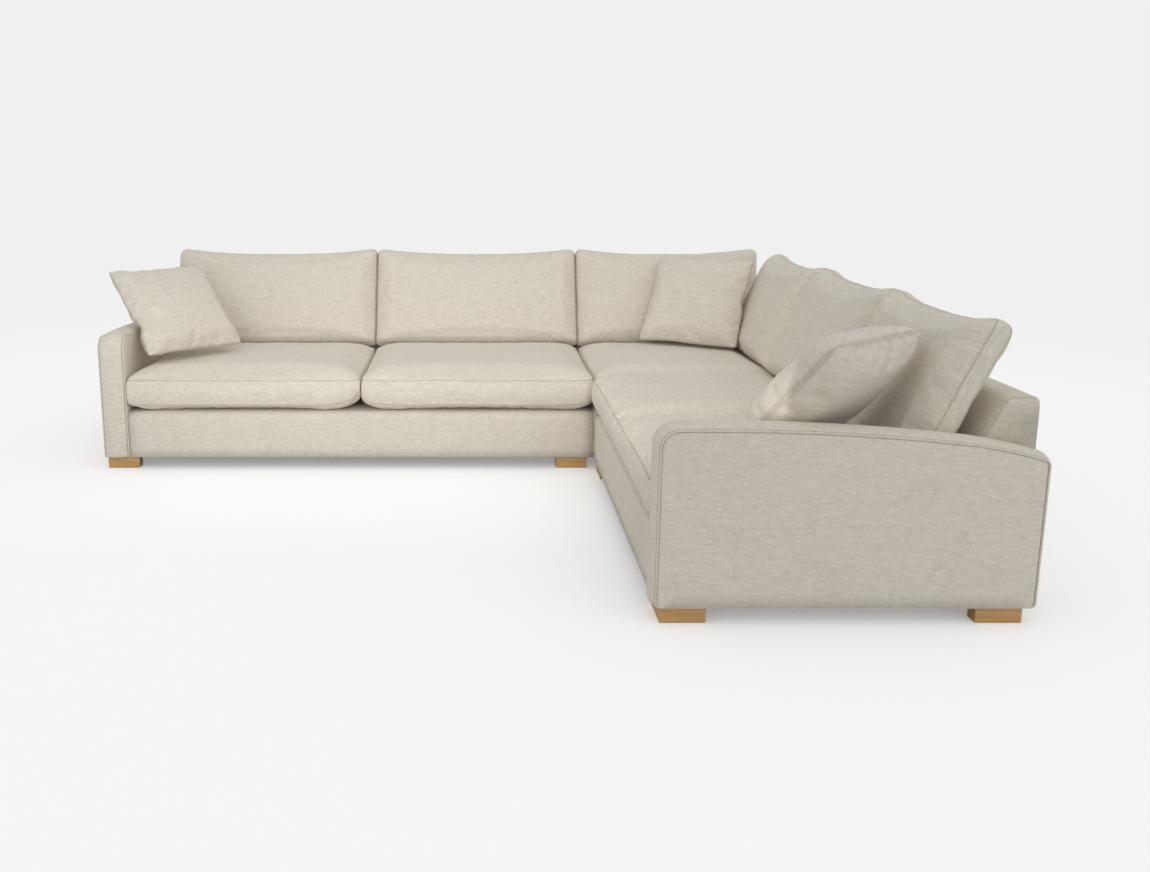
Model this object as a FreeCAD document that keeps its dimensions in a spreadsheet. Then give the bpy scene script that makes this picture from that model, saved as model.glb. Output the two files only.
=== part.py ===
import FreeCAD, Part
import math
import os

import Sketcher
from FreeCAD import Placement, Rotation, Vector

# Corner sofa of three units on oak bracket feet, with loose seat, back and scatter cushions.
# Everything is drawn round the inner corner, where the fronts of the two runs meet at floor level:
# X runs along the left run towards the corner, Y towards its back, Z up. At the end the origin
# moves to the middle of the footprint.

DOC = FreeCAD.newDocument("corner_sofa")
SHEET = DOC.addObject("Spreadsheet::Sheet", "Sizes")

# Driving dimensions in millimetres and degrees.
DRIVING = [
    ("run_depth", 1050),
    ("arm_width", 105),
    ("wide_seat", 957.5),
    ("narrow_seat", 692),
    ("seat_depth", 766),
    ("foot_height", 49),
    ("foot_leg", 128),
    ("foot_wall", 44),
    ("foot_edge", 2.5),
    ("foot_inset_side", 10),
    ("foot_inset_front", 11),
    ("foot_inset_rear", 42),
    ("foot_inset_joint", 25),
    ("deck_height", 240),
    ("deck_cloth", 6),
    ("wall_front", 14),
    ("wall_side", 10),
    ("base_edge", 30),
    ("back_skirt", 6),
    ("back_foot", 772),
    ("back_shoulder", 964),
    ("back_top", 618),
    ("back_edge", 18),
    ("arm_top", 550),
    ("arm_front", -4),
    ("arm_rear", 1040),
    ("arm_flat", 100),
    ("arm_nose", 55),
    ("arm_heel", 20),
    ("arm_toe", 12),
    ("arm_sweep", 6000),
    ("arm_fall", 1250),
    ("arm_end_slope", 16),
    ("arm_crown", 12.5),
    ("welt", 6),
    ("arm_padding", 14),
    ("rail", 22),
    ("rail_gap", 0.5),
    ("corner_block", 92),
    ("spring_wire", 3.6),
    ("spring_width", 50),
    ("spring_pitch", 124),
    ("web_width", 50),
    ("web_thick", 2),
    ("lining", 1.2),
    ("bolt_size", 8),
    ("bolt_hole", 8.6),
    ("bolt_depth", 30),
    ("bolt_length", 70),
    ("screw_size", 5),
    ("screw_hole", 5.6),
    ("screw_length", 32),
    ("plate_length", 110),
    ("plate_width", 40),
    ("plate_thick", 3),
    ("cushion_gap", 1.5),
    ("seat_front", -6),
    ("lower_seam", 269),
    ("upper_seam", 373),
    ("seat_belly", 26),
    ("seat_crown", 38),
    ("seat_corner", 48),
    ("seat_draw", 0.006),
    ("seam_ridge", 3),
    ("back_lean", 25),
    ("back_seam_foot", 717),
    ("back_seam_level", 402.5),
    ("back_length", 480),
    ("back_dip", 30),
    ("back_draw", 0.02),
    ("back_border", 50),
    ("back_belly", 56),
    ("back_rear_belly", 34),
    ("corner_back_width", 845),
    ("scatter_size", 450),
    ("scatter_half", 58),
    ("scatter_draw", 20),
    ("left_scatter_along", 232),
    ("left_scatter_depth", 335),
    ("left_scatter_height", 622),
    ("left_scatter_lean", 44),
    ("left_scatter_turn", 45),
    ("right_scatter_along", 238),
    ("right_scatter_depth", 512),
    ("right_scatter_height", 612),
    ("right_scatter_lean", 42),
    ("right_scatter_turn", 220),
    ("corner_scatter_along", 531),
    ("corner_scatter_depth", 600),
    ("corner_scatter_height", 622),
    ("corner_scatter_lean", 36),
    ("corner_scatter_turn", -28),
]


class Size:
    """A driving dimension, or a sum of them, as a number and as the cell formula that it comes from."""

    def __init__(self, number, formula):
        self.number = number
        self.formula = formula

    def _join(self, sign, other, number):
        return Size(number, "(%s %s %s)" % (self.formula, sign, as_size(other).formula))

    def __add__(self, other):
        return self._join("+", other, self.number + as_size(other).number)

    def __sub__(self, other):
        return self._join("-", other, self.number - as_size(other).number)

    def __mul__(self, other):
        return self._join("*", other, self.number * as_size(other).number)

    def __truediv__(self, other):
        return self._join("/", other, self.number / as_size(other).number)


def as_size(value):
    if isinstance(value, Size):
        return value
    return Size(float(value), repr(float(value)))


def fill_sheet():
    for row, (alias, value) in enumerate(DRIVING, start=1):
        SHEET.set("A%d" % row, alias)
        SHEET.set("B%d" % row, str(value))
        SHEET.setAlias("B%d" % row, alias)
    DOC.recompute()
    return {alias: Size(float(SHEET.get(alias)), "Sizes." + alias) for alias, value in DRIVING}


CELL = fill_sheet()
MM = {alias: size.number for alias, size in CELL.items()}
NODES = []


def node(item, label):
    """List an object as a sub-part of the sofa under the name of its file."""
    item.Label = label
    NODES.append(item)
    return item


def to_left(along):
    """Place of a piece of the left run: its own x runs along the run, its y from front to back."""
    return Placement(Vector(along, 0, 0), Rotation())


def to_right(far_end):
    """Place of a piece of the right run: its own x runs from the corner towards the near arm."""
    return Placement(Vector(0, far_end, 0), Rotation(Vector(0, 0, 1), -90))


# Solids bound to the sheet

def box(name, lengths, low):
    item = DOC.addObject("Part::Box", name)
    for prop, length in zip(("Length", "Width", "Height"), lengths):
        item.setExpression(prop, as_size(length).formula)
    item.Placement = Placement(Vector(*[as_size(value).number for value in low]), Rotation())
    return item


def bore(name, radius, height, low):
    """Upright hole of a fastener, with eight flats like its bar."""
    item = DOC.addObject("Part::Prism", name)
    item.Polygon = 8
    item.setExpression("Circumradius", as_size(radius).formula)
    item.setExpression("Height", as_size(height).formula)
    item.Placement = Placement(Vector(*[as_size(value).number for value in low]), Rotation())
    return item


def join(name, items):
    item = DOC.addObject("Part::MultiFuse", name)
    item.Shapes = items
    return item


def cut(name, base, tool):
    item = DOC.addObject("Part::Cut", name)
    item.Base = base
    item.Tool = tool
    return item


def new_body(name):
    return DOC.addObject("PartDesign::Body", name + "_body")


def sketch_on(body, role, loops, name):
    """A sketch of closed straight-sided loops on an origin plane, each corner bound to the sheet."""
    sketch = body.newObject("Sketcher::SketchObject", name)
    plane = [item for item in body.Origin.OriginFeatures if item.Role == role][0]
    sketch.AttachmentSupport = [(plane, "")]
    sketch.MapMode = "FlatFace"
    for loop in loops:
        corners = [(as_size(x), as_size(y)) for x, y in loop]
        spots = [Vector(x.number, y.number, 0) for x, y in corners]
        first = sketch.GeometryCount
        for index, spot in enumerate(spots):
            following = spots[(index + 1) % len(spots)]
            sketch.addGeometry(Part.LineSegment(spot, following), False)
        bind_corners(sketch, first, corners)
    return sketch


def bind_corners(sketch, first, corners):
    """Close a loop of lines and hold each corner at its distance from the sketch's origin."""
    count = len(corners)
    for index in range(count):
        line = first + index
        following = first + (index + 1) % count
        sketch.addConstraint(Sketcher.Constraint("Coincident", line, 2, following, 1))
    for index, (across, up) in enumerate(corners):
        line = first + index
        for kind, size, axis in (("DistanceX", across, -2), ("DistanceY", up, -1)):
            if abs(size.number) < 1e-9:
                sketch.addConstraint(Sketcher.Constraint("PointOnObject", line, 1, axis))
                continue
            held = sketch.addConstraint(Sketcher.Constraint(kind, -1, 1, line, 1, size.number))
            sketch.setExpression("Constraints[%d]" % held, size.formula)


def pad(body, sketch, length, name):
    item = body.newObject("PartDesign::Pad", name)
    item.Profile = sketch
    item.setExpression("Length", as_size(length).formula)
    DOC.recompute()
    return item


def pocket(body, sketch, length, name, backwards=False):
    before = body.Shape.Volume
    item = body.newObject("PartDesign::Pocket", name)
    item.Profile = sketch
    item.Reversed = backwards
    item.setExpression("Length", as_size(length).formula)
    DOC.recompute()
    if not body.Shape.Volume < before - 1.0:
        raise RuntimeError("pocket %s removes nothing" % name)
    return item


def dress(body, kind, feature, names, size, title):
    """Round or chamfer the named edges of a feature."""
    item = body.newObject("PartDesign::" + kind, title)
    item.Base = (feature, names)
    item.setExpression("Radius" if kind == "Fillet" else "Size", as_size(size).formula)
    DOC.recompute()
    return item


def edges_where(shape, test):
    return ["Edge%d" % (index + 1) for index, edge in enumerate(shape.Edges) if test(edge)]


def rectangle(low_x, low_y, high_x, high_y):
    return [(low_x, low_y), (high_x, low_y), (high_x, high_y), (low_x, high_y)]


def shaped(name, shape):
    item = DOC.addObject("Part::Feature", name)
    item.Shape = shape
    return item


# Oak feet: mitred brackets of two equal legs, screwed up into the rails

def foot(label, place):
    body = new_body(label)
    leg = CELL["foot_leg"]
    wall = CELL["foot_wall"]
    plan = [(0, 0), (leg, 0), (leg, wall), (wall, wall), (wall, leg), (0, leg)]
    block = pad(body, sketch_on(body, "XY_Plane", [plan], label + "_plan"), CELL["foot_height"], label + "_pad")
    low_edges = edges_where(block.Shape, lambda edge: edge.BoundBox.ZMax < 0.01)
    dress(body, "Chamfer", block, low_edges, CELL["foot_edge"], label + "_chamfer")
    holes = []
    for number, (x, y) in enumerate(bolt_spots()):
        low = (x, y, CELL["foot_height"] - CELL["bolt_depth"])
        holes.append(bore("%s_hole%d" % (label, number), CELL["bolt_hole"] / 2, CELL["bolt_depth"] + 1, low))
    drilled = cut(label + "_drilled", body, join(label + "_holes", holes))
    drilled.Placement = place
    return node(drilled, label)


def bolt_spots():
    """Places on the two legs of a foot where its bolts go up into the rails or the arm's board."""
    far = MM["foot_leg"] / 2
    near = MM["foot_wall"] / 2
    return [(far, near), (near, far)]


def foot_places():
    """Outer corner and quarter turns of every foot, by unit."""
    side = MM["foot_inset_side"]
    front = MM["foot_inset_front"]
    rear = MM["run_depth"] - MM["foot_inset_rear"]
    joint = MM["foot_inset_joint"]
    left_end = -(2 * MM["wide_seat"] + MM["arm_width"]) + side
    near_end = -(2 * MM["narrow_seat"] + MM["arm_width"]) + side
    return [
        ("left_unit_front_outer_foot", left_end, front, 0),
        ("left_unit_front_inner_foot", -joint, front, 1),
        ("left_unit_rear_inner_foot", -joint, rear, 2),
        ("left_unit_rear_outer_foot", left_end, rear, 3),
        ("corner_unit_inner_foot", joint, joint, 0),
        ("corner_unit_right_foot", rear, joint, 1),
        ("corner_unit_outer_foot", rear, rear, 2),
        ("corner_unit_left_foot", joint, rear, 3),
        ("right_unit_front_near_foot", front, near_end, 0),
        ("right_unit_rear_near_foot", rear, near_end, 1),
        ("right_unit_rear_far_foot", rear, -joint, 2),
        ("right_unit_front_far_foot", front, -joint, 3),
    ]


def make_feet_and_fasteners():
    bolts = []
    for label, x, y, quarters in foot_places():
        place = Placement(Vector(x, y, 0), Rotation(Vector(0, 0, 1), 90 * quarters))
        foot(label, place)
        for bx, by in bolt_spots():
            bolts.append(place.multVec(Vector(bx, by, MM["foot_height"] - MM["bolt_depth"])))
    screws = []
    for x, y, along_x in plate_places():
        for end in (-1, 1):
            reach = end * (MM["wall_side"] + MM["rail"] / 2)
            level = MM["foot_height"] - MM["plate_thick"]
            screws.append(Vector(x + reach * along_x, y + reach * (1 - along_x), level))
    fasteners("foot_bolts", MM["bolt_size"], MM["bolt_length"], bolts)
    fasteners("plate_screws", MM["screw_size"], MM["screw_length"], screws)


def fasteners(label, size, length, spots):
    """Alike bolts or screws as plain eight-sided bars, without their threads."""
    ring = [Vector(size / 2, 0, 0)]
    for side in range(1, 9):
        ring.append(Rotation(Vector(0, 0, 1), 45 * side).multVec(ring[0]))
    bar = Part.Face(Part.makePolygon(ring)).extrude(Vector(0, 0, length))
    node(shaped(label + "_group", Part.Compound([bar.translated(spot) for spot in spots])), label)


# Steel plates that hold the units together, under the two joints

def plate_places():
    front = MM["run_depth"] * 0.2
    rear = MM["run_depth"] * 0.8
    return [(0, front, 1), (0, rear, 1), (front, 0, 0), (rear, 0, 0)]


def make_joining_plates():
    plates = []
    length = CELL["plate_length"]
    width = CELL["plate_width"]
    for number, (x, y, along_x) in enumerate(plate_places()):
        sides = (length, width) if along_x else (width, length)
        low = [x - sides[0].number / 2, y - sides[1].number / 2, MM["foot_height"] - MM["plate_thick"]]
        plate = box("plate%d" % number, (sides[0], sides[1], CELL["plate_thick"]), low)
        reach = MM["wall_side"] + MM["rail"] / 2
        holes = []
        for end in (-1, 1):
            spot = (x + end * reach * along_x, y + end * reach * (1 - along_x), low[2] - 1)
            holes.append(bore("plate%d_hole%d" % (number, end + 1), CELL["screw_hole"] / 2, 5, spot))
        plates.append(cut("plate%d_drilled" % number, plate, join("plate%d_holes" % number, holes)))
    group = DOC.addObject("Part::Compound", "unit_joining_plates")
    group.Links = plates
    node(group, "unit_joining_plates")


# Timber, suspension and covers of a unit, drawn between its ends in the unit's own frame

def base_frame(label, width, bays, place):
    """Rails of a base: one outer frame, cross rails between the seats and a rail under the back."""
    rail = CELL["rail"]
    low_x = CELL["wall_side"] + CELL["rail_gap"]
    low_y = CELL["wall_front"] + CELL["rail_gap"]
    high_x = width - low_x
    high_y = CELL["run_depth"] - CELL["back_skirt"] - CELL["wall_side"] - CELL["rail_gap"]
    middle = CELL["back_foot"]
    loops = [rectangle(low_x, low_y, high_x, high_y)]
    clear = (high_x - low_x - rail * (bays + 1)) / bays
    for bay in range(bays):
        start = low_x + rail + (clear + rail) * bay
        end = start + clear
        blocks = [bay == 0, bay == bays - 1]
        loops.append(blocked_bay(start, low_y + rail, end, middle - rail, blocks + [False, False]))
        loops.append(blocked_bay(start, middle, end, high_y - rail, [False, False] + blocks[::-1]))
    body = new_body(label)
    height = CELL["deck_height"] - CELL["deck_cloth"] - CELL["spring_wire"] * 2 - CELL["foot_height"] - CELL["lining"]
    pad(body, sketch_on(body, "XY_Plane", loops, label + "_plan"), height, label + "_pad")
    raised = Placement(Vector(0, 0, MM["foot_height"] + MM["lining"]), Rotation())
    body.Placement = place.multiply(raised)
    return node(body, label)


def blocked_bay(low_x, low_y, high_x, high_y, blocks):
    """Opening between rails; a corner block that takes a foot's bolts fills each corner asked for."""
    block = CELL["corner_block"]
    points = []
    for number, (x, y) in enumerate(rectangle(low_x, low_y, high_x, high_y)):
        if not blocks[number]:
            points.append((x, y))
            continue
        along_x = (x + block if number in (0, 3) else x - block, y)
        along_y = (x, y + block if number in (0, 1) else y - block)
        points += [along_y, along_x] if number in (0, 2) else [along_x, along_y]
    return points


def spring_solid(length):
    """A zigzag spring of flat mitred wire that lies along y."""
    half = MM["spring_width"] / 2
    wire = MM["spring_wire"]
    runs = int(length // (MM["spring_pitch"] / 2))
    pitch = length / runs
    bend = pitch * 0.32
    middle = [Vector(0, 0, 0)]
    for run in range(runs):
        side = half if run % 2 == 0 else -half
        middle.append(Vector(side, run * pitch + bend / 2, 0))
        middle.append(Vector(side, (run + 1) * pitch - bend / 2, 0))
    middle.append(Vector(0, length, 0))
    return Part.Face(ribbon(middle, wire / 2)).extrude(Vector(0, 0, wire))


def ribbon(middle, half):
    """Closed outline of a mitred strip along a polyline."""
    sides = []
    for index, spot in enumerate(middle):
        before = spot - middle[index - 1] if index else middle[1] - spot
        after = middle[index + 1] - spot if index < len(middle) - 1 else spot - middle[index - 1]
        first = Vector(-before.y, before.x, 0).normalize()
        second = Vector(-after.y, after.x, 0).normalize()
        mitre = first + second
        sides.append(mitre * (half / mitre.dot(first)))
    outline = [spot + side for spot, side in zip(middle, sides)]
    outline += [spot - side for spot, side in reversed(list(zip(middle, sides)))]
    return Part.makePolygon(outline + outline[:1])


def springs(label, width, seats, per_seat, place):
    low_y = MM["wall_front"] + MM["rail_gap"] + MM["rail"] / 2
    high_y = MM["back_foot"] - MM["rail"] / 2
    level = MM["deck_height"] - MM["deck_cloth"] - 2 * MM["spring_wire"] + 0.05
    one = spring_solid(high_y - low_y)
    seat = (width - 2 * MM["wall_side"] - 2 * MM["rail"]) / seats
    copies = []
    for index in range(seats * per_seat):
        along = MM["wall_side"] + MM["rail"] + seat * (index + 0.5) / per_seat
        copies.append(one.translated(Vector(along, low_y, level)))
    item = shaped(label, Part.Compound(copies))
    item.Placement = place
    return node(item, label)


def base_cover(label, width, depth, place):
    """Padded base: a border round the rails and the deck that the seat cushions lie on."""
    body = new_body(label)
    height = CELL["deck_height"] - CELL["foot_height"]
    plan = [rectangle(0, 0, width, depth)]
    block = pad(body, sketch_on(body, "XY_Plane", plan, label + "_plan"), height, label + "_pad")
    top = height.number
    front_top = edges_where(block.Shape, lambda edge: edge.BoundBox.YMax < 0.01 and edge.BoundBox.ZMin > top - 0.01)
    dress(body, "Fillet", block, front_top, CELL["base_edge"], label + "_front_edge")
    side = CELL["wall_side"]
    hollow = [rectangle(side, CELL["wall_front"], width - side, depth - side)]
    room = sketch_on(body, "XY_Plane", hollow, label + "_room")
    pocket(body, room, height - CELL["deck_cloth"], label + "_hollow", True)
    body.Placement = place.multiply(Placement(Vector(0, 0, MM["foot_height"]), Rotation()))
    return node(body, label)


def dust_cover(label, width, depth, place):
    side = CELL["wall_side"] + CELL["rail_gap"]
    front = CELL["wall_front"] + CELL["rail_gap"]
    sheet = box(label, (width - side * 2, depth - front - side, CELL["lining"]), (0, 0, 0))
    corner = Placement(Vector(side.number, front.number, MM["foot_height"]), Rotation())
    sheet.Placement = place.multiply(corner)
    return node(sheet, label)


def back_profile(inset, skirt):
    """Section of the low back in y and z: sloped front, narrow top and a skirt down the rear."""
    slope = (CELL["back_shoulder"] - CELL["back_foot"]).number / (MM["back_top"] - MM["deck_height"])
    lean_inset = inset * math.sqrt(1 + slope * slope)
    floor = CELL["deck_height"]
    front = [
        (CELL["back_foot"] + lean_inset, floor),
        (CELL["back_shoulder"] + (lean_inset - inset * slope), CELL["back_top"] - inset),
        (CELL["run_depth"] - inset, CELL["back_top"] - inset),
    ]
    if skirt:
        inner = CELL["run_depth"] - CELL["back_skirt"]
        return front + [
            (CELL["run_depth"], CELL["foot_height"]),
            (inner, CELL["foot_height"]),
            (inner, floor),
        ]
    return front + [(CELL["run_depth"] - inset, floor)]


def back_cover(label, width, place, trim=None):
    body = new_body(label)
    outer = pad(body, sketch_on(body, "YZ_Plane", [back_profile(0, True)], label + "_side"), width, label + "_pad")
    high = MM["back_top"]
    long_edges = edges_where(
        outer.Shape, lambda edge: edge.BoundBox.ZMin > high - 0.01 and edge.BoundBox.XLength > 10)
    dress(body, "Fillet", outer, long_edges, CELL["back_edge"], label + "_top_edges")
    wall = CELL["wall_side"]
    room = new_body(label + "_room")
    hollow = sketch_on(room, "YZ_Plane", [back_profile(MM["wall_side"], False)], label + "_hollow")
    pad(room, hollow, width - wall * 2, label + "_room_pad")
    room.Placement = Placement(Vector(MM["wall_side"], 0, 0), Rotation())
    shell = cut(label + "_shell", body, room)
    if trim is not None:
        shell = cut(label + "_trimmed", shell, trim)
    shell.Placement = place
    return node(shell, label)


def back_frame(label, width, bays, place):
    """Uprights shaped to the slope of the back, with a top rail and a middle rail let across them."""
    inset = MM["wall_side"] + 5
    body = new_body(label)
    thick = CELL["rail"]
    side = CELL["wall_side"] + CELL["rail_gap"]
    length = width - side * 2
    high = CELL["back_top"] - inset
    rear = CELL["run_depth"] - inset
    top_rail = [rectangle(rear - 50, high - 60, rear, high)]
    rail_sketch = sketch_on(body, "YZ_Plane", top_rail, label + "_rail_side")
    pad(body, rail_sketch, length, label + "_top_rail")
    upright = pad(
        body, sketch_on(body, "YZ_Plane", [back_profile(inset, False)], label + "_side"), thick, label + "_upright")
    row = body.newObject("PartDesign::LinearPattern", label + "_row")
    row.Originals = [upright]
    axis = [item for item in body.Origin.OriginFeatures if item.Role == "X_Axis"][0]
    row.Direction = (axis, [""])
    row.setExpression("Length", (length - thick).formula)
    row.Occurrences = bays + 1
    body.Tip = row
    DOC.recompute()
    low_rail = [rectangle(rear - 40, CELL["deck_height"], rear, CELL["deck_height"] + 60)]
    low_sketch = sketch_on(body, "YZ_Plane", low_rail, label + "_low_side")
    pad(body, low_sketch, length, label + "_low_rail")
    body.Placement = place.multiply(Placement(Vector(side.number, 0, 0.5), Rotation()))
    return node(body, label)


def back_webbing(label, width, rows, place):
    """Straps stretched along the sloped front of the back uprights."""
    slope = math.atan2(MM["back_shoulder"] - MM["back_foot"], MM["back_top"] - MM["deck_height"])
    inset = MM["wall_side"] + 4.5
    start = Vector(0, MM["back_foot"] + inset / math.cos(slope), MM["deck_height"])
    straps = []
    spacing = (MM["back_top"] - MM["deck_height"]) / math.cos(slope) / (rows + 0.6)
    for row in range(rows):
        side = CELL["wall_side"] + CELL["rail_gap"]
        strap = box("%s%d" % (label, row), (width - side * 2, CELL["web_thick"], CELL["web_width"]), (0, 0, 0))
        up = Vector(0, math.sin(slope), math.cos(slope))
        spot = start + up * (spacing * (row + 0.35)) + Vector(side.number, 0, 0)
        tilt = Rotation(Vector(1, 0, 0), -math.degrees(slope))
        strap.Placement = Placement(spot, tilt).multiply(Placement(Vector(0, -MM["web_thick"], 0), Rotation()))
        straps.append(strap)
    group = DOC.addObject("Part::Compound", label)
    group.Links = straps
    group.Placement = place
    return node(group, label)


# Arms: a flat face each side, a crowned border over front, top and rear, and a welt in each seam

class Pen:
    """Draws a chain of straight runs and tangent arcs in the y-z plane at one x."""

    def __init__(self, x, y, z, heading):
        self.x = x
        self.spot = (y, z)
        self.heading = heading
        self.edges = []

    def _vector(self, spot):
        return Vector(self.x, spot[0], spot[1])

    def line(self, length):
        angle = math.radians(self.heading)
        end = (self.spot[0] + length * math.cos(angle), self.spot[1] + length * math.sin(angle))
        self.edges.append(Part.LineSegment(self._vector(self.spot), self._vector(end)).toShape())
        self.spot = end

    def bend(self, radius, degrees):
        """Turn to the right by some degrees on a radius."""
        angle = math.radians(self.heading)
        centre = (self.spot[0] + radius * math.sin(angle), self.spot[1] - radius * math.cos(angle))
        places = []
        for share in (0.5, 1.0):
            turned = angle - math.radians(degrees * share)
            places.append((centre[0] - radius * math.sin(turned), centre[1] + radius * math.cos(turned)))
        arc = Part.Arc(self._vector(self.spot), self._vector(places[0]), self._vector(places[1]))
        self.edges.append(arc.toShape())
        self.spot = places[1]
        self.heading -= degrees


def arm_outline(x, out, closed=True):
    """Side outline of an arm, moved outwards by a distance in front, on top and behind."""
    bottom = MM["foot_height"]
    toe = MM["arm_toe"]
    nose = MM["arm_nose"]
    heel = MM["arm_heel"]
    sweep_turn = math.degrees(math.asin(650 / MM["arm_sweep"]))
    fall_turn = MM["arm_end_slope"] - sweep_turn
    pen = Pen(x, MM["arm_front"] - out, bottom + toe, 90)
    pen.line(MM["arm_top"] - nose - bottom - toe)
    pen.bend(nose + out, 90)
    pen.line(MM["arm_flat"])
    pen.bend(MM["arm_sweep"] + out, sweep_turn)
    pen.bend(MM["arm_fall"] + out, fall_turn)
    slope = math.radians(-pen.heading)
    seam_rear = MM["arm_rear"] + out
    room = seam_rear - (heel + out) * (1 - math.sin(slope)) - pen.spot[0]
    pen.line(room / math.cos(slope))
    pen.bend(heel + out, 90 + pen.heading)
    pen.line(pen.spot[1] - bottom - toe)
    if closed:
        pen.bend(toe, 90)
        pen.line(pen.spot[0] - MM["arm_front"] + out - toe)
        pen.bend(toe, 90)
    return Part.Wire(pen.edges)


def arm_pieces(label, low_x, place):
    width = MM["arm_width"]
    welt = MM["welt"]
    crown = MM["arm_crown"]
    sections = []
    for share, lift in ((0.0, 0.0), (0.14, 0.62), (0.5, 1.0), (0.86, 0.62), (1.0, 0.0)):
        x = low_x + welt + share * (width - 2 * welt)
        sections.append(arm_outline(x, crown * lift))
    border = Part.makeLoft(sections, True, True)
    cheeks = []
    for x in (low_x, low_x + width - welt):
        cheeks.append(Part.Face(arm_outline(x, -welt)).extrude(Vector(welt, 0, 0)))
    padding = MM["arm_padding"]
    core_width = width - 2 * padding
    core = Part.Face(arm_outline(low_x + padding, -padding)).extrude(Vector(core_width, 0, 0))
    cover = border.fuse(cheeks).removeSplitter().cut(core)
    item = shaped(label + "_arm_cover", cover)
    item.Placement = place
    node(item, label + "_arm_cover")
    gap = MM["rail_gap"]
    board = Part.Face(arm_outline(low_x + padding + gap, -padding - gap)).extrude(
        Vector(core_width - 2 * gap, 0, 0))
    board = board.common(Part.makeBox(width, 2000, 2000, Vector(low_x, 0, MM["foot_height"] + 1)))
    window = Part.makeBox(width, 700, 300, Vector(low_x, 120, MM["foot_height"] + 70))
    frame = shaped(label + "_arm_frame", board.cut(window))
    frame.Placement = place
    node(frame, label + "_arm_frame")
    cords = []
    for x in (low_x + welt / 2, low_x + width - welt / 2):
        path = arm_outline(x, -welt / 2, False)
        start = path.Edges[0].valueAt(path.Edges[0].FirstParameter)
        ring = six_sided(start, welt / 2 - 0.05)
        cords.append(path.makePipeShell([ring], True, True))
    piping = shaped(label + "_arm_piping", Part.Compound(cords))
    piping.Placement = place
    node(piping, label + "_arm_piping")


def six_sided(centre, radius):
    """Section of a welt at the lower end of its path."""
    corners = []
    for side in range(7):
        angle = math.radians(60 * side)
        corners.append(centre + Vector(radius * math.cos(angle), radius * math.sin(angle), 0))
    return Part.makePolygon(corners)


# Cushions: lofts through outlines with bowed sides, each at its own level

def bowed(first, last, draw, steps):
    """Points of a side between two corners, its middle drawn in by a share of its length."""
    along = last - first
    inward = Vector(-along.y, along.x, 0) * draw
    shares = [step / steps for step in range(1, steps)]
    return [first + along * share + inward * (4 * share * (1 - share)) for share in shares]


def rounded(centre, radius, start, steps):
    """Points of a quarter turn, both ends included."""
    points = []
    for step in range(steps + 1):
        angle = math.radians(start + 90 * step / steps)
        points.append(Vector(centre[0] + radius * math.cos(angle), centre[1] + radius * math.sin(angle), 0))
    return points


def cushion_outline(low, high, corner, draws, level, steps=(2, 2, 2, 2)):
    """Rounded rectangle; draws are the shares by which bottom, right, top and left are drawn in."""
    (x0, y0), (x1, y1) = low, high
    centres = [(x1 - corner, y0 + corner), (x1 - corner, y1 - corner), (x0 + corner, y1 - corner),
               (x0 + corner, y0 + corner)]
    turns = [rounded(centre, corner, 90 * number - 90, 2) for number, centre in enumerate(centres)]
    points = []
    for side in range(4):
        points += bowed(turns[side - 1][-1], turns[side][0], draws[side], steps[side])
        points += turns[side]
    return [point + Vector(0, 0, level) for point in points]


def closed_face(corners):
    return Part.Face(Part.makePolygon(corners + corners[:1]))


def ruled_loft(sections):
    """Solid through outlines of one corner count, whose matching sides are parallel."""
    faces = [closed_face(sections[0]), closed_face(sections[-1])]
    for low, high in zip(sections, sections[1:]):
        for number in range(len(low)):
            before = number - 1
            faces.append(closed_face([low[before], low[number], high[number], high[before]]))
    solid = Part.Solid(Part.Shell(faces))
    return solid if solid.Volume > 0 else solid.reversed()


def seat_cushion(label, width, place, front=None):
    """Boxed seat cushion: crowned top, soft belly, and a piped seam above and below its border."""
    gap = MM["cushion_gap"]
    low = MM["lower_seam"]
    high = MM["upper_seam"]
    crown = MM["seat_crown"]
    belly = MM["seat_belly"]
    front = MM["seat_front"] if front is None else front
    draw = MM["seat_draw"]
    seam = MM["seam_ridge"]
    levels = [
        (low - belly, 46), (low - belly * 0.5, 9), (low - seam, seam), (low, 0), (low + seam, seam),
        (high - seam, seam), (high, 0), (high + seam, seam), (high + crown * 0.42, 14),
        (high + crown * 0.72, 48), (high + crown * 0.93, 120), (high + crown, 215),
    ]
    sections = []
    for level, inset in levels:
        corner = MM["seat_corner"] + inset * 0.15
        sections.append(cushion_outline(
            (gap + inset, front + inset), (width - gap - inset, MM["seat_depth"] - inset),
            corner, (draw, draw, draw, draw), level))
    item = shaped(label, ruled_loft(sections))
    item.Placement = place
    return node(item, label)


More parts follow.
